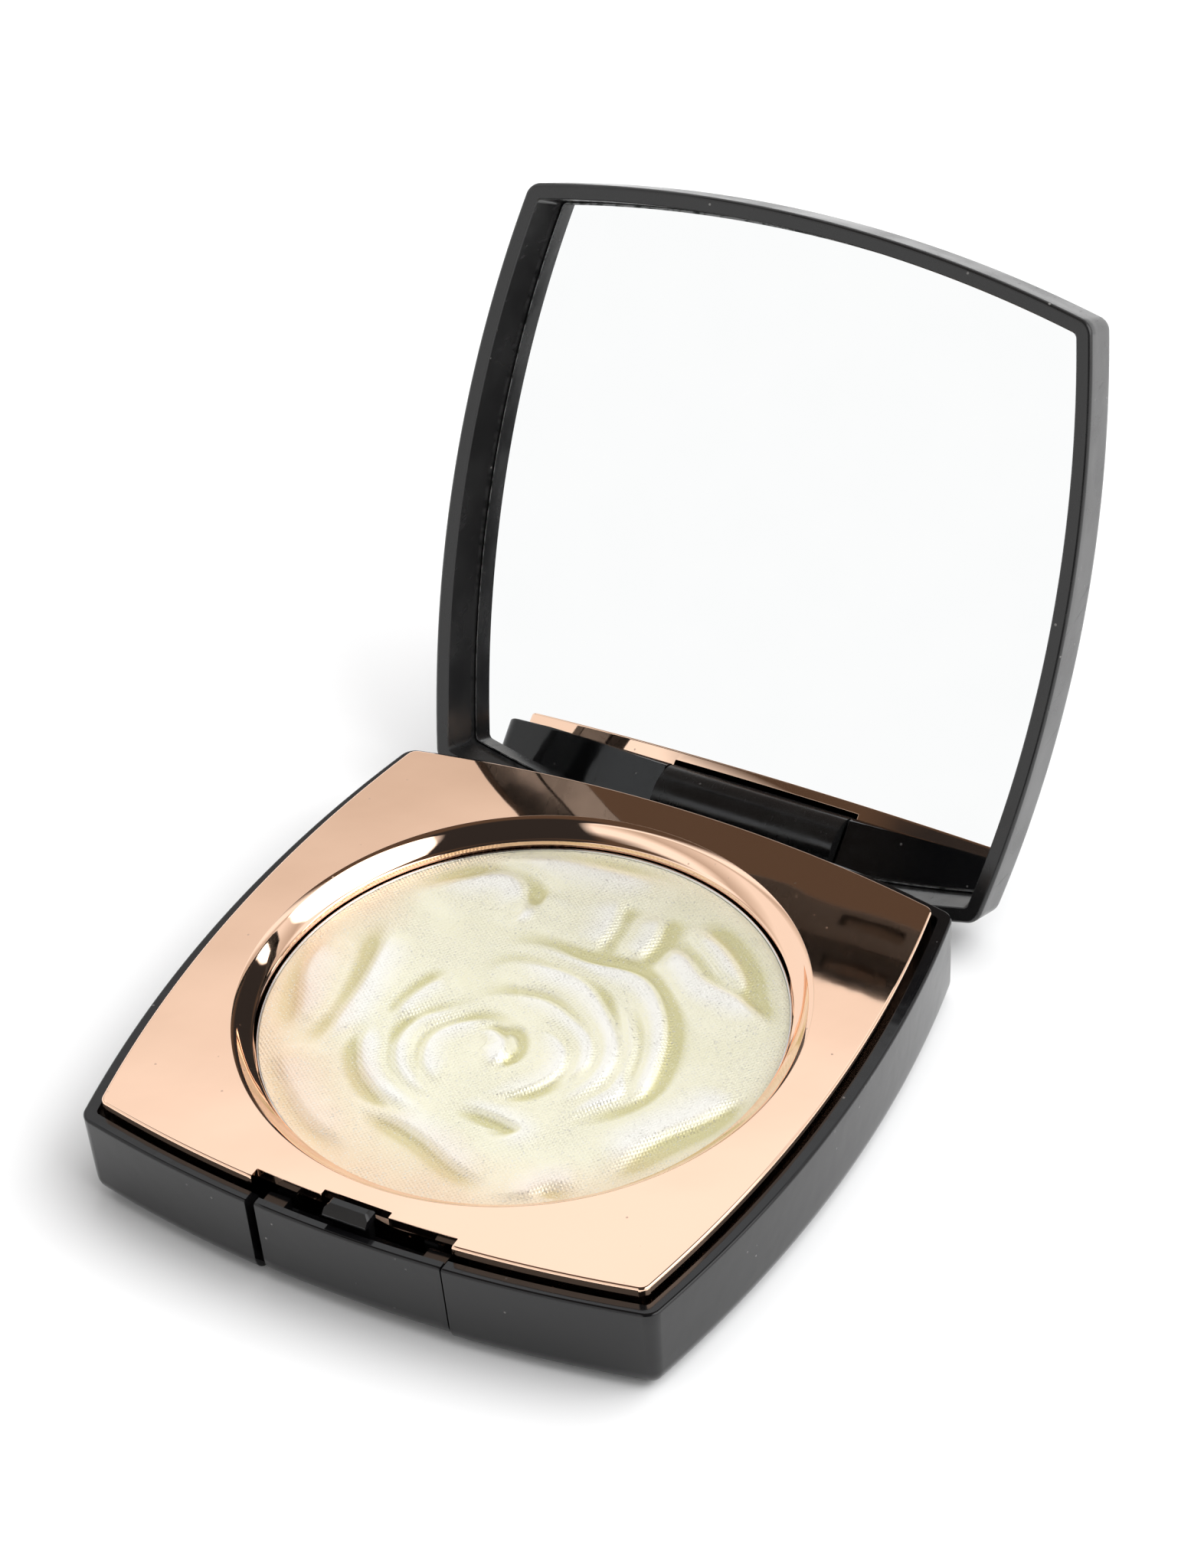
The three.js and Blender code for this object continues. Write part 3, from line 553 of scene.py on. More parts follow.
outer_foot = bend(-math.pi / 2, 0, PAN_FOOT, PAN_FOOT, PAN_BOTTOM + PAN_FOOT)
inner_foot = bend(-math.pi / 2, 0, PAN_FOOT, PAN_FOOT + PAN_WALL, PAN_BOTTOM + PAN_FOOT + PAN_WALL)
cut_edge = bend(0, math.pi, PAN_WALL / 2, PAN_WALL / 2, PAN_TOP - PAN_WALL / 2)
wall = [*outer_foot, *cut_edge, *inner_foot[::-1]]
pan = turned("pan", [(0, PAN_BOTTOM), *wall, (0, PAN_BOTTOM + PAN_WALL)])
smooth(pan, 60)
pressed_metal, tree, shader, place = new_material("pressed aluminium")
rolled = add(tree, "ShaderNodeMapping", {"Vector": place, "Scale": (120, 5200, 900)})
grain = add(tree, "ShaderNodeTexNoise", {"Vector": rolled.outputs[0], "Scale": 1.0, "Detail": 2.0})
metal = blended(tree, grain.outputs[0], (0.72, 0.72, 0.74), (0.90, 0.90, 0.91))
tree.links.new(metal, shader.inputs["Base Color"])
tree.links.new(ranged(tree, grain.outputs[0], 0.3, 0.7, 0.12, 0.26), shader.inputs["Roughness"])
shader.inputs["Metallic"].default_value = 1.0
pan.data.materials.append(pressed_metal)
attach(pan, "base")
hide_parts("powder_pan")

soft_glue, tree, shader, place = new_material("soft glue")
blobs = add(tree, "ShaderNodeTexNoise", {"Vector": place, "Scale": 500.0, "Detail": 3.0})
glue = blended(tree, blobs.outputs[0], (0.60, 0.58, 0.52), (0.78, 0.76, 0.70))
tree.links.new(glue, shader.inputs["Base Color"])
lumps = add(tree, "ShaderNodeBump", {"Height": blobs.outputs[0], "Strength": 0.4, "Distance": 0.0002})
tree.links.new(lumps.outputs[0], shader.inputs["Normal"])
shader.inputs["Roughness"].default_value = 0.4
frame["nodes"]["pan_glue_disc"].data.materials[0] = soft_glue
frame["nodes"]["mirror_tape"].data.materials[0] = soft_glue

# ---------------------------------------------------------------- powder cake
# Pearly highlighter powder, pressed through a woven ribbon by a die cut with an open rose. The
# petals' edges stand up as soft ridges, and the ribbon leaves its weave all over.
cake_low, cake_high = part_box("powder_cake")
CAKE_RADIUS = cake_high.x / MM
CAKE_BOTTOM = cake_low.z / MM
CAKE_EDGE = PAN_TOP - 0.25
CAKE_RINGS = 190
CAKE_SPOKES = 460
DOME = 0.16         # how far the middle stands above the edge
RELIEF = 0.95       # the listed heights are taken at this share
OUTER = 1.15        # each edge falls away outwards over this many times its listed width
INNER = 1.35        # and inwards over this many
EDGE_FADE = 2.2     # the relief dies away over this width beside the pan's wall
ROSE_HEART = (-0.6, -5.6)
PETAL_EDGES = [
    # height, width outside the edge, width inside it, then points along the edge
    (0.34, 0.7, 1.6, [(-3.6, -4.2), (-2.2, -3.2), (-0.6, -4.0), (0.2, -6.0), (-0.6, -8.2)]),
    (0.30, 0.7, 1.5, [(1.9, -7.8), (0.7, -6.4), (1.0, -4.4), (0.1, -2.9), (-1.6, -2.6)]),
    (0.34, 0.8, 1.9, [(-2.0, -12.0), (-4.6, -11.4), (-6.6, -9.4), (-7.4, -6.6), (-6.2, -4.0),
                      (-3.6, -2.0), (0.4, -1.6)]),
    (0.32, 0.8, 2.0, [(0.4, -1.0), (3.6, -1.0), (6.2, -2.6), (7.0, -5.2), (6.0, -8.2), (3.6, -10.6),
                      (0.6, -11.8)]),
    (0.34, 0.8, 1.8, [(-1.6, -14.3), (-5.6, -13.6), (-8.8, -11.4), (-10.5, -8.0), (-10.2, -4.8),
                      (-8.0, -2.0), (-5.2, 0.6)]),
    (0.32, 0.8, 1.8, [(-6.6, 0.2), (-3.6, 2.6), (0.6, 3.4), (4.2, 2.2), (7.6, 0.2), (9.2, -2.8),
                      (8.6, -6.0), (6.6, -9.0)]),
    (0.34, 0.9, 1.8, [(-10.6, 3.6), (-12.2, 0.4), (-12.9, -3.0), (-12.6, -5.6)]),
    (0.42, 1.0, 2.1, [(-14.2, -6.6), (-13.8, -10.2), (-11.4, -13.8), (-7.6, -16.0), (-2.2, -17.0)]),
    (0.40, 0.9, 2.2, [(-7.6, 4.2), (-5.4, 7.6), (-0.6, 8.2), (3.8, 7.2), (8.0, 3.8), (11.0, 0.0),
                      (11.8, -4.2), (10.4, -8.4), (7.6, -12.0)]),
    (0.40, 0.9, 1.4, [(5.6, 8.6), (9.4, 5.6), (12.4, 1.4), (13.8, -3.2), (14.6, -6.0), (12.4, -9.4),
                      (10.4, -12.6)]),
    (0.48, 1.0, 1.8, [(-8.4, 9.2), (-4.4, 11.0), (1.6, 10.8), (7.8, 11.2), (12.4, 7.6), (15.4, 2.2),
                      (16.6, -4.2), (14.2, -9.0), (11.2, -12.4)]),
    (0.36, 0.9, 1.8, [(-2.0, -14.6), (2.2, -13.8), (6.0, -14.0), (8.6, -14.8), (7.8, -16.8), (4.6, -18.9)]),
    (0.42, 1.2, 2.6, [(-21.4, 9.4), (-19.8, 3.6), (-18.6, -2.4), (-18.0, -8.6), (-17.6, -13.6)]),
    (0.40, 1.4, 3.0, [(-26.6, 4.6), (-26.0, -1.6), (-23.4, -6.8), (-21.0, -11.6)]),
    (0.40, 1.4, 2.6, [(-22.6, 12.4), (-17.6, 17.4), (-13.6, 19.6), (-9.6, 16.4), (-9.2, 12.4)]),
    (0.34, 1.2, 2.0, [(-7.6, 20.6), (-7.8, 17.2), (-8.8, 13.0)]),
    (0.34, 1.2, 2.2, [(-1.0, 22.6), (0.4, 17.8), (0.4, 12.8)]),
    (0.38, 1.2, 2.2, [(4.6, 22.0), (5.8, 17.8), (5.4, 13.4)]),
    (0.46, 1.2, 2.2, [(7.6, 17.0), (10.6, 16.0), (14.6, 13.4), (20.4, 12.0), (24.8, 9.4)]),
    (0.42, 1.2, 2.4, [(8.6, 21.4), (13.6, 19.2), (17.6, 16.0), (20.6, 12.2)]),
    (0.46, 1.4, 3.2, [(27.0, 1.6), (24.6, -4.2), (20.8, -10.6), (18.6, -18.4)]),
    (0.38, 1.0, 2.4, [(-11.0, -18.4), (-4.6, -18.9), (0.2, -20.2), (5.0, -22.2), (10.6, -23.4)]),
    (0.40, 1.4, 2.4, [(19.4, -19.2), (15.4, -20.2), (13.6, -22.6), (14.6, -24.4)]),
    (0.34, 1.4, 2.8, [(-22.4, -13.6), (-18.6, -18.2), (-12.6, -22.6), (-5.6, -24.8)]),
    (0.40, 1.6, 3.0, [(-19.6, 20.0), (-12.4, 24.2), (-3.4, 25.4), (5.6, 26.0)]),
]


def spline(points, steps=14):
    """A smooth run through the points: each stretch is the usual cubic blend of its four nearest."""
    p = np.array(points, float)
    p = np.concatenate([[2 * p[0] - p[1]], p, [2 * p[-1] - p[-2]]])
    t = np.linspace(0, 1, steps, endpoint=False)[:, None]
    runs = []
    for a, b, c, d in zip(p, p[1:], p[2:], p[3:]):
        curve = (2 * a - 5 * b + 4 * c - d) * t**2 + (3 * b - a - 3 * c + d) * t**3
        runs.append(0.5 * (2 * b + (c - a) * t + curve))
    return np.concatenate([*runs, p[-2:-1]])


def petal_relief(x, y):
    """Height of the embossed rose. Each edge is a bell-shaped ridge, narrow on the side away from the
    heart and wide towards it, with a shallow trough just outside it. It dies away at both its ends."""
    height = np.zeros_like(x)
    for rise, outer, inner, points in PETAL_EDGES:
        line = spline(points)
        ahead = np.gradient(line, axis=0)
        away = line[len(line) // 2] - ROSE_HEART
        facing = np.sign(ahead[len(line) // 2, 0] * away[1] - ahead[len(line) // 2, 1] * away[0])
        offset = np.stack([x, y], -1)[:, None] - line[None]
        distance = np.hypot(offset[..., 0], offset[..., 1])
        nearest = distance.argmin(1)
        gap = distance.min(1)
        near, side = ahead[nearest], offset[np.arange(len(x)), nearest]
        is_outside = (near[:, 0] * side[:, 1] - near[:, 1] * side[:, 0]) * facing > 0
        along = nearest / (len(line) - 1)
        fade = np.clip(np.minimum(along, 1 - along) * 3.5, 0, 1)
        fade = fade * fade * (3 - 2 * fade)
        out = gap / (OUTER * outer)
        ridge = np.where(is_outside, np.exp(-(out**2)), np.exp(-((gap / (INNER * inner)) ** 1.6)))
        trough = np.where(is_outside, 0.6 * out**2 * np.exp(1 - (out / 1.3) ** 2), 0)
        height += rise * fade * (ridge - trough)
    return height


radii = CAKE_RADIUS * np.linspace(0, 1, CAKE_RINGS + 1)[1:]
angles = np.linspace(0, 2 * math.pi, CAKE_SPOKES, endpoint=False)
r, a = np.meshgrid(radii[::-1], angles, indexing="ij")
x, y = (r * np.cos(a)).ravel(), (r * np.sin(a)).ravel()
share = np.clip((CAKE_RADIUS - r.ravel()) / EDGE_FADE, 0, 1)
dome = DOME * (1 - (r.ravel() / CAKE_RADIUS) ** 2)
petals = share * petal_relief(x, y)
top = CAKE_EDGE + dome + RELIEF * petals
foot = np.column_stack([np.cos(angles), np.sin(angles)]) * CAKE_RADIUS
foot_ring = np.column_stack([foot, np.full(CAKE_SPOKES, CAKE_BOTTOM)])
centre_petal = petal_relief(np.zeros(1), np.zeros(1))
poles = [[0, 0, CAKE_EDGE + DOME + RELIEF * centre_petal[0]], [0, 0, CAKE_BOTTOM]]
points = np.concatenate([foot_ring, np.column_stack([x, y, top]), poles])
last = CAKE_RINGS * CAKE_SPOKES
i = np.arange(CAKE_SPOKES)
j = (i + 1) % CAKE_SPOKES
peak = np.stack([np.full(CAKE_SPOKES, len(points) - 2), last + i, last + j], -1)
bed = np.stack([np.full(CAKE_SPOKES, len(points) - 1), j, i], -1)
cake = closed_piece("powder", points, [*ring_faces(CAKE_RINGS + 1, CAKE_SPOKES), *peak, *bed])
# How high each place stands in the pattern, for the colour: painted shade in the hollows and a painted
# highlight on the crests.
petal_height = cake.data.attributes.new("petal_height", "FLOAT", "POINT")
heights = np.concatenate([np.zeros(CAKE_SPOKES), petals, centre_petal, [0]])
petal_height.data.foreach_set("value", heights.astype(np.float32))
smooth(cake, 60)

pearl, tree, shader, place = new_material("pearl powder")
ribbon = {"Vector": place, "Rotation": (0, 0, 0.62), "Scale": (1, 1, 0)}
weave_place = add(tree, "ShaderNodeMapping", ribbon).outputs[0]
across = add(tree, "ShaderNodeTexWave", {"Vector": weave_place, "Scale": 800.0}, bands_direction="X")
down = add(tree, "ShaderNodeTexWave", {"Vector": weave_place, "Scale": 800.0}, bands_direction="Y")
weave = sums(tree, "MULTIPLY", across.outputs["Fac"], down.outputs["Fac"])
patches = add(tree, "ShaderNodeTexNoise", {"Vector": place, "Scale": 130.0, "Detail": 3.0})
threads = sums(tree, "MULTIPLY", weave, ranged(tree, patches.outputs[0], 0.35, 0.6, 0.15, 1.0))
grit = add(tree, "ShaderNodeTexNoise", {"Vector": place, "Scale": 5200.0, "Detail": 2.0})
surface = sums(tree, "MULTIPLY_ADD", grit.outputs[0], 0.5, threads)
relief = add(tree, "ShaderNodeBump", {"Height": surface, "Strength": 0.5, "Distance": 0.00014})
tree.links.new(relief.outputs[0], shader.inputs["Normal"])
flakes = add(tree, "ShaderNodeTexVoronoi", {"Vector": place, "Scale": 7500.0})
flake_tone = add(tree, "ShaderNodeSeparateColor", {0: flakes.outputs["Color"]}).outputs[0]
glint = ranged(tree, flake_tone, 0.90, 0.97)
# The colour goes from a painted khaki shade in the hollows through cream to a painted white highlight on the
# crests. It is rosier towards the front left, by the distance from a place behind the middle.
height = add(tree, "ShaderNodeAttribute", attribute_name="petal_height").outputs["Fac"]
soft_height = sums(tree, "MULTIPLY_ADD", patches.outputs[0], 0.16, height)
hollow_shade_colour = blended(tree, ranged(tree, soft_height, -0.14, 0.10), (0.70, 0.66, 0.38), (0.95, 0.925, 0.74))
shaded_relief_colour = blended(tree, ranged(tree, soft_height, 0.24, 0.50), hollow_shade_colour, (1.0, 0.99, 0.93))
from_place = {0: place, 1: (0.004, 0.006, 0.010)}
distance = add(tree, "ShaderNodeVectorMath", from_place, operation="DISTANCE").outputs["Value"]
rosy = ranged(tree, sums(tree, "MULTIPLY_ADD", patches.outputs[0], 0.008, distance), 0.0285, 0.0375)
warm = blended(tree, sums(tree, "MULTIPLY", rosy, 0.55), shaded_relief_colour, (0.93, 0.62, 0.42))
sparkle = sums(tree, "MULTIPLY", glint, 0.6)
tree.links.new(blended(tree, sparkle, warm, (1.0, 0.99, 0.95)), shader.inputs["Base Color"])
tree.links.new(ranged(tree, flake_tone, 0.0, 1.0, 0.46, 0.28), shader.inputs["Roughness"])
tree.links.new(ranged(tree, glint, 0, 1, 0.50, 0.85), shader.inputs["Metallic"])
cake.data.materials.append(pearl)
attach(cake, "base")
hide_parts("powder_cake")

# ---------------------------------------------------------------- latch button
# The front of the case behind the lid's lip: a bowed face that presses in, with end flanges, a shelf
# and a hooked head that leans over the lip. Moulded in black acetal, and carried on two springs.
latch_face = moulded_black("gloss black acetal", 0.13, 0.5)
BUTTON_WIDTH = 22.7
BUTTON_SHIFT = 0.45
BUTTON_RELIEF = 0.12     # its face stands back this far from the base's
HOOK_X = -0.1
HOOK_HALF = 2.65
b0, b1 = BUTTON_SHIFT - BUTTON_WIDTH / 2, BUTTON_SHIFT + BUTTON_WIDTH / 2
front_levels = [(inset + BUTTON_RELIEF, z + 0.3) for inset, z in base_levels[:EDGE_STEPS + 1]]
for z in np.linspace(BASE_EDGE + 0.6, RIM_HEIGHT - RIM_BREAK, 5):
    front_levels.append((draft_at(z) + BUTTON_RELIEF, z))
for back, up in quarter(4)[1:]:
    front_levels.append((BUTTON_RELIEF + RIM_BREAK * back, RIM_HEIGHT - RIM_BREAK * up))
button = loft("latch", front_levels)
inside = [(BUTTON_WALL + BASE_DRAFT, -1, 1), (BUTTON_WALL + draft_at(0.3), 0.3, 1),
          (BUTTON_WALL, RIM_HEIGHT, 1), (BUTTON_WALL, RIM_HEIGHT + 1, 1)]
combine(button, loft("inside", inside))
combine(button, block("ends", (b0, -HALF_DEPTH - 1, -1), (b1, -30, RIM_HEIGHT + 1)), "INTERSECT")
shelf_top = RIM_HEIGHT - 1.9
behind_face = front_y(0, 0) + BUTTON_WALL - 0.15
clip_levels = [(0.4 + BASE_DRAFT, -1, 1), (0.4, RIM_HEIGHT + 3, 1)]
shelf = block("shelf", (b0, behind_face - 0.6, shelf_top - 0.9), (b1, flange_back, shelf_top))
combine(button, combine(shelf, loft("clip", clip_levels), "INTERSECT"), "UNION")
for side in (-1, 1):
    outer = b0 + 0.2 if side < 0 else b1 - 0.2
    x0, x1 = sorted([outer, outer - side * 2.6])
    flange = block("flange", (x0, flange_back - FLANGE_DEPTH, 1.9), (x1, flange_back, RIM_HEIGHT - 0.6))
    combine(button, flange, "UNION")
hook_tip = front_y(0, 1.8) - 0.5
neck_back = hook_tip + 2.1
hook_foot = RIM_HEIGHT + 0.96
hook_top = hook_foot + 1.3
neck_high = (HOOK_X + 2.3, neck_back, hook_foot + 0.3)
combine(button, block("neck", (HOOK_X - 2.3, neck_back - 0.95, shelf_top - 0.2), neck_high), "UNION")
foot_low = (HOOK_X - 3.6, behind_face - 0.1, shelf_top - 0.9)
neck_foot = block("foot", foot_low, (HOOK_X + 3.6, neck_back, shelf_top))
combine(button, combine(neck_foot, loft("clip", clip_levels), "INTERSECT"), "UNION")
head_section = [(hook_tip, hook_foot), (neck_back, hook_foot), (neck_back, hook_top - 0.35),
                (neck_back - 0.35, hook_top), (hook_tip + 0.95, hook_top), (hook_tip, hook_foot + 0.3)]
head = bar_along_x("head", head_section, HOOK_X - HOOK_HALF, HOOK_X + HOOK_HALF)
for side in (-1, 1):
    # The head's ends are cut back at a slant, lower towards the outside.
    end = HOOK_X + side * HOOK_HALF
    past = end + side * 0.1
    corner = np.array([[past, hook_top - 0.6], [past, hook_top + 0.1], [end - side * 0.6, hook_top + 0.1]])
    wedge = np.concatenate([np.insert(corner, 1, y, axis=1) for y in (hook_tip - 1, neck_back + 1)])
    order = [(2, 1, 0), (3, 4, 5), (0, 1, 4, 3), (1, 2, 5, 4), (2, 0, 3, 5)]
    combine(head, closed_piece("slant", wedge, order if side < 0 else [f[::-1] for f in order]))
combine(button, head, "UNION")
soften(button, 0.12)
button.data.materials.append(latch_face)
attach(button, "latch")
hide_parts("latch_button")

# ---------------------------------------------------------------- lid shell
# The upper half of the case, moulded like the base. It is drawn closed and turned back about the
# hinge line to its open stop. A knuckle at the rear takes the pins, and a lip at the front the hook.
hinge = next(joint for joint in frame["joints"] if joint["name"] == "lid_hinge")
OPEN_ANGLE = math.radians(hinge["range_deg"][1])
LID_HEIGHT = 7.6
LID_TOP = RIM_HEIGHT + LID_HEIGHT
LID_DRAFT = 0.25
LID_EDGE = 2.2
LID_BREAK = 0.5
LID_WALL = 1.8
TRAY = LID_WALL + 0.6
MIRROR_FACE = RIM_HEIGHT + 5.05
GLASS = 1.1
BED_TOP = MIRROR_FACE + GLASS + 0.25 + 0.15     # over the glass, its tape and a hair of room


def swing_open(piece):
    """Turns a piece drawn closed about the hinge line to where the lid stands open."""
    mesh = piece.data
    co = np.empty(len(mesh.vertices) * 3)
    mesh.vertices.foreach_get("co", co)
    co = co.reshape(-1, 3) / MM
    y, z = co[:, 1] - HINGE_Y, co[:, 2] - HINGE_Z
    c, s = math.cos(-OPEN_ANGLE), math.sin(-OPEN_ANGLE)
    turned_back = np.column_stack([co[:, 0], HINGE_Y + y * c - z * s, HINGE_Z + y * s + z * c])
    mesh.vertices.foreach_set("co", (turned_back * MM).ravel())
    mesh.update()


# The lid's rim stops a hair above the base's, so the two don't rub where the case shuts.
LID_FOOT = RIM_HEIGHT + 0.03
lid_levels = [(LID_BREAK * up, LID_FOOT + LID_BREAK * back) for back, up in quarter(4)]
side_height = LID_TOP - LID_EDGE - LID_FOOT - LID_BREAK
lid_levels += [(LID_DRAFT * t, LID_FOOT + LID_BREAK + side_height * t) for t in (0.25, 0.5, 0.75)]
lid_levels += [(LID_DRAFT + LID_EDGE * back, LID_TOP - LID_EDGE * up) for back, up in quarter(10)]
lid = loft("lid", lid_levels)
eased = LID_WALL - 0.12
mouth = [(eased, LID_FOOT - 1, 0.8), (eased, LID_FOOT, 0.8), (LID_WALL, LID_FOOT + 0.12, 0.8)]
combine(lid, loft("tray", [*mouth, (TRAY, MIRROR_FACE, 0.8), (TRAY, BED_TOP, 0.8)]))
lip_y = front_y(0, LID_WALL)
lip_top = RIM_HEIGHT + 0.9
combine(lid, block("recess", (-4.6, lip_y - 0.95, lip_top), (4.6, lip_y + 1, lip_top + 1.9)))
knuckle_end = REAR_GAP - 0.3
WEB_INSET = 0.15
WEB_BACK = 1.45
web_draft = draft_at(HINGE_Z)
web_top = (WEB_INSET, RIM_HEIGHT + 1.5)
web = loft("web", [(WEB_INSET + web_draft, HINGE_Z), (WEB_INSET, RIM_HEIGHT), web_top])
web_inside = [(WEB_BACK + web_draft, HINGE_Z - 1), (WEB_BACK + web_draft, HINGE_Z),
              (WEB_BACK, RIM_HEIGHT), (WEB_BACK + 0.3, RIM_HEIGHT + 2)]
combine(web, loft("web inside", web_inside))
web_ends = block("web ends", (-knuckle_end, 30, HINGE_Z - 0.5), (knuckle_end, 40, RIM_HEIGHT + 1.4))
combine(web, web_ends, "INTERSECT")
barrel = bar_along_x("barrel", circle(2.4, HINGE_Y, HINGE_Z, 64), -knuckle_end, knuckle_end)
combine(web, barrel, "UNION")
# A part drum on the barrel fills the gap in the rear rim when the lid stands open.
turn = np.radians(np.linspace(0, 205, 48))
drum_arc = np.column_stack([HINGE_Y + SWING_RADIUS * np.cos(turn), HINGE_Z + SWING_RADIUS * np.sin(turn)])
drum = bar_along_x("drum", [(HINGE_Y, HINGE_Z), *drum_arc.tolist()], -knuckle_end, knuckle_end)
outline = [(WEB_INSET + BASE_DRAFT, 0), (WEB_INSET, RIM_HEIGHT), web_top]
combine(drum, loft("outline", outline), "INTERSECT")
combine(web, drum, "UNION")
combine(lid, web, "UNION")
combine(lid, bar_along_x("bore", circle(BORE_RADIUS, HINGE_Y, HINGE_Z, 24), -HALF_WIDTH, HALF_WIDTH))
smooth(lid, 35)
swing_open(lid)
lid_blacks = ((0.0085, 0.0085, 0.0088), (0.0150, 0.0148, 0.0150))
satin_black = moulded_black("satin black ABS", 0.24, 0.6, *lid_blacks)
satin_black.node_tree.nodes["Principled BSDF"].inputs["IOR"].default_value = 1.55
lid.data.materials.append(satin_black)
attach(lid, "lid")
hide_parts("lid_shell")

# ---------------------------------------------------------------- mirror
# Silvered float glass cut to the lid's tray and bedded on tape. Its ground edge is chipped here and there,
# and its pale colour is broken into painted highlight beads where the glass meets the wall.
GROUND = 0.22       # the ground edge is this wide and this deep
GLASS_INSET = TRAY + 0.15
ground_edge = [(GLASS_INSET + GROUND, MIRROR_FACE, 0.8), (GLASS_INSET, MIRROR_FACE + GROUND, 0.8)]
mirror = loft("mirror", [*ground_edge, (GLASS_INSET, MIRROR_FACE + GLASS, 0.8)])
swing_open(mirror)
silvered, tree, shader, place = new_material("silvered glass")
mark = marked(tree, place, 0.1, 0.15)
silver = blended(tree, mark["Cloud"], (0.955, 0.965, 0.965), (0.975, 0.98, 0.98))
tree.links.new(silver, shader.inputs["Base Color"])
tree.links.new(sums(tree, "MULTIPLY_ADD", mark["Dust"], 0.3, 0.004), shader.inputs["Roughness"])
shader.inputs["Metallic"].default_value = 1.0
mirror.data.materials.append(silvered)
ground, tree, shader, place = new_material("ground glass edge")
chips_and_highlight_beads = add(tree, "ShaderNodeTexNoise", {"Vector": place, "Scale": 700.0, "Detail": 3.0})
# Painted highlight: the noise breaks the pale ground edge into bright beads and dark gaps, standing in for
# light caught along it.
bead_highlight = ranged(tree, chips_and_highlight_beads.outputs[0], 0.36, 0.54)
tree.links.new(blended(tree, bead_highlight, (0.16, 0.17, 0.17), (0.95, 0.97, 0.97)), shader.inputs["Base Color"])
tree.links.new(ranged(tree, bead_highlight, 0, 1, 0.25, 0.5), shader.inputs["Roughness"])
nicks = add(tree, "ShaderNodeBump", {"Height": chips_and_highlight_beads.outputs[0], "Strength": 0.5, "Distance": 0.0001})
tree.links.new(nicks.outputs[0], shader.inputs["Normal"])
mirror.data.materials.append(ground)
# The first ring of faces is the ground edge.
is_edge = np.zeros(len(mirror.data.polygons), np.int32)
is_edge[: len(bowed_square(0))] = 1
mirror.data.polygons.foreach_set("material_index", is_edge)
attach(mirror, "lid")
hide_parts("mirror_glass")

# ---------------------------------------------------------------- studio
# A white sweep under a wide soft light, with white walls, a bank of lamps and a brown ceiling for
# the plating and the mirror to reflect, a dark screen at the front right and a window at the right.
FLOOR_REACH = 2600
FLOOR_Z = -0.02
floor_corners = [(-1, -1), (1, -1), (1, 1), (-1, 1)]
floor_points = [(FLOOR_REACH * x, FLOOR_REACH * y, FLOOR_Z) for x, y in floor_corners]
floor = closed_piece("floor", floor_points, [(0, 1, 2, 3)])
white, tree, shader, place = new_material("white sweep")
shader.inputs["Base Color"].default_value = (0.90, 0.905, 0.91, 1)
shader.inputs["Roughness"].default_value = 0.6
shader.inputs["Specular IOR Level"].default_value = 0.15
floor.data.materials.append(white)

world = bpy.data.worlds.new("studio")
world.use_nodes = True
bpy.context.scene.world = world
tree = world.node_tree
direction = tree.nodes.new("ShaderNodeTexCoord").outputs["Generated"]
axes = add(tree, "ShaderNodeSeparateXYZ", {0: direction}).outputs


def towards(way):
    """How far the direction that is looked in points along `way`."""
    return add(tree, "ShaderNodeVectorMath", {0: direction, 1: way}, operation="DOT_PRODUCT").outputs["Value"]


# Upwards: white walls, a dim cornice, a bright bank of lamps, then the brown ceiling.
dim = sums(tree, "SUBTRACT", 1.0, ranged(tree, axes["Z"], 0.40, 0.60, 0.0, 0.40))
brightness = sums(tree, "ADD", dim, ranged(tree, axes["Z"], 0.61, 0.69, 0.0, 0.55))
warmer = [sums(tree, "POWER", brightness, power) for power in (1.0, 1.15, 1.30)]
walls = add(tree, "ShaderNodeCombineColor", dict(enumerate(warmer))).outputs[0]
room = blended(tree, ranged(tree, axes["Z"], 0.76, 0.84), walls, (0.100, 0.074, 0.056))
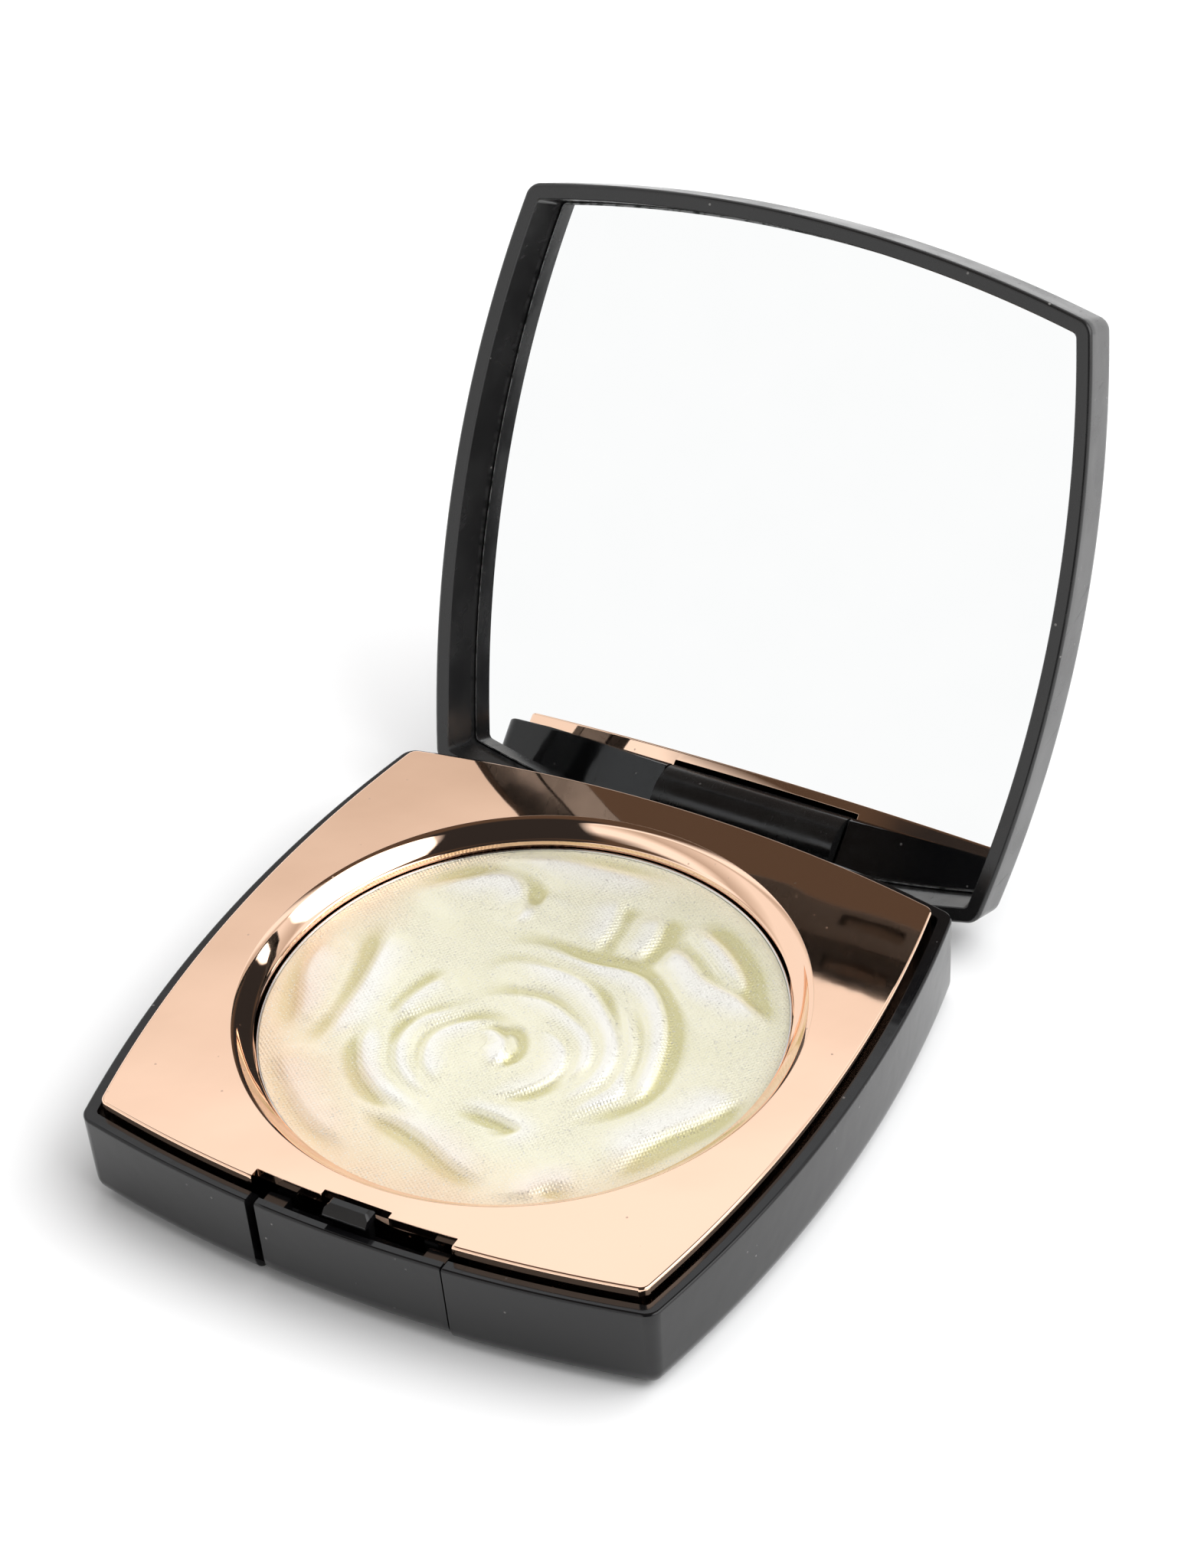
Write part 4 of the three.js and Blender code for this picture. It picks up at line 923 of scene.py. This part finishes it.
# A tall dark screen stands against the front right wall.
beside = sums(tree, "ABSOLUTE", towards((0.86, 0.50, 0.0)), 0.0)
ahead = towards((0.50, -0.86, 0.0))
screen = sums(tree, "MULTIPLY", ranged(tree, beside, 0.40, 0.34), ranged(tree, ahead, 0.20, 0.30))
screened = blended(tree, screen, room, (0.03, 0.03, 0.032))
# A large bright window stands high on the right.
window = ranged(tree, towards((0.80, 0.10, 0.59)), 0.885, 0.895)
lit = blended(tree, window, screened, (2.6, 2.6, 2.6))
tree.links.new(lit, tree.nodes["Background"].inputs["Color"])
tree.nodes["Background"].inputs["Strength"].default_value = 1.0


def soft_light(name, place, aim, size, power):
    """A square soft light at a place, turned to its aim, that isn't seen in reflections."""
    data = bpy.data.lights.new(name, "AREA")
    data.size = size
    data.energy = power
    light = bpy.data.objects.new(name, data)
    bpy.context.scene.collection.objects.link(light)
    light.location = place
    toward = np.array(aim) - np.array(place)
    light.rotation_mode = "QUATERNION"
    light.rotation_quaternion = Vector(toward).to_track_quat("-Z", "Y")
    light.visible_glossy = False
    light.visible_camera = False


soft_light("overhead", (0.40, 0.34, 0.95), (0, 0.02, 0), 1.3, 13.0)

# ---------------------------------------------------------------- camera
# A long lens from the front right, well above the case, rolled a little.
AZIMUTH = math.radians(32.59)
ELEVATION = math.radians(39.25)
ROLL = math.radians(-5.13)
DISTANCE = 572.18
AIM = np.array([-0.04, 20.16, 28.83])
LENS = 120.2092
level = math.cos(ELEVATION)     # the share of the line of sight that runs level
back = np.array([math.sin(AZIMUTH) * level, -math.cos(AZIMUTH) * level, math.sin(ELEVATION)])
right = np.cross(-back, [0, 0, 1])
right /= np.linalg.norm(right)
up = np.cross(right, -back)
rolled_right = right * math.cos(ROLL) + up * math.sin(ROLL)
rolled_up = up * math.cos(ROLL) - right * math.sin(ROLL)
lens = bpy.data.cameras.new("camera")
lens.sensor_width = 36.0
lens.lens = LENS
lens.clip_start, lens.clip_end = 0.01, 20.0
camera = bpy.data.objects.new("camera", lens)
bpy.context.scene.collection.objects.link(camera)
pose = Matrix.Identity(4)
for column, axis in enumerate((rolled_right, rolled_up, back, (AIM + back * DISTANCE) * MM)):
    for row in range(3):
        pose[row][column] = axis[row]
camera.matrix_world = pose
bpy.context.scene.camera = camera
bpy.context.scene.view_settings.view_transform = "Standard"
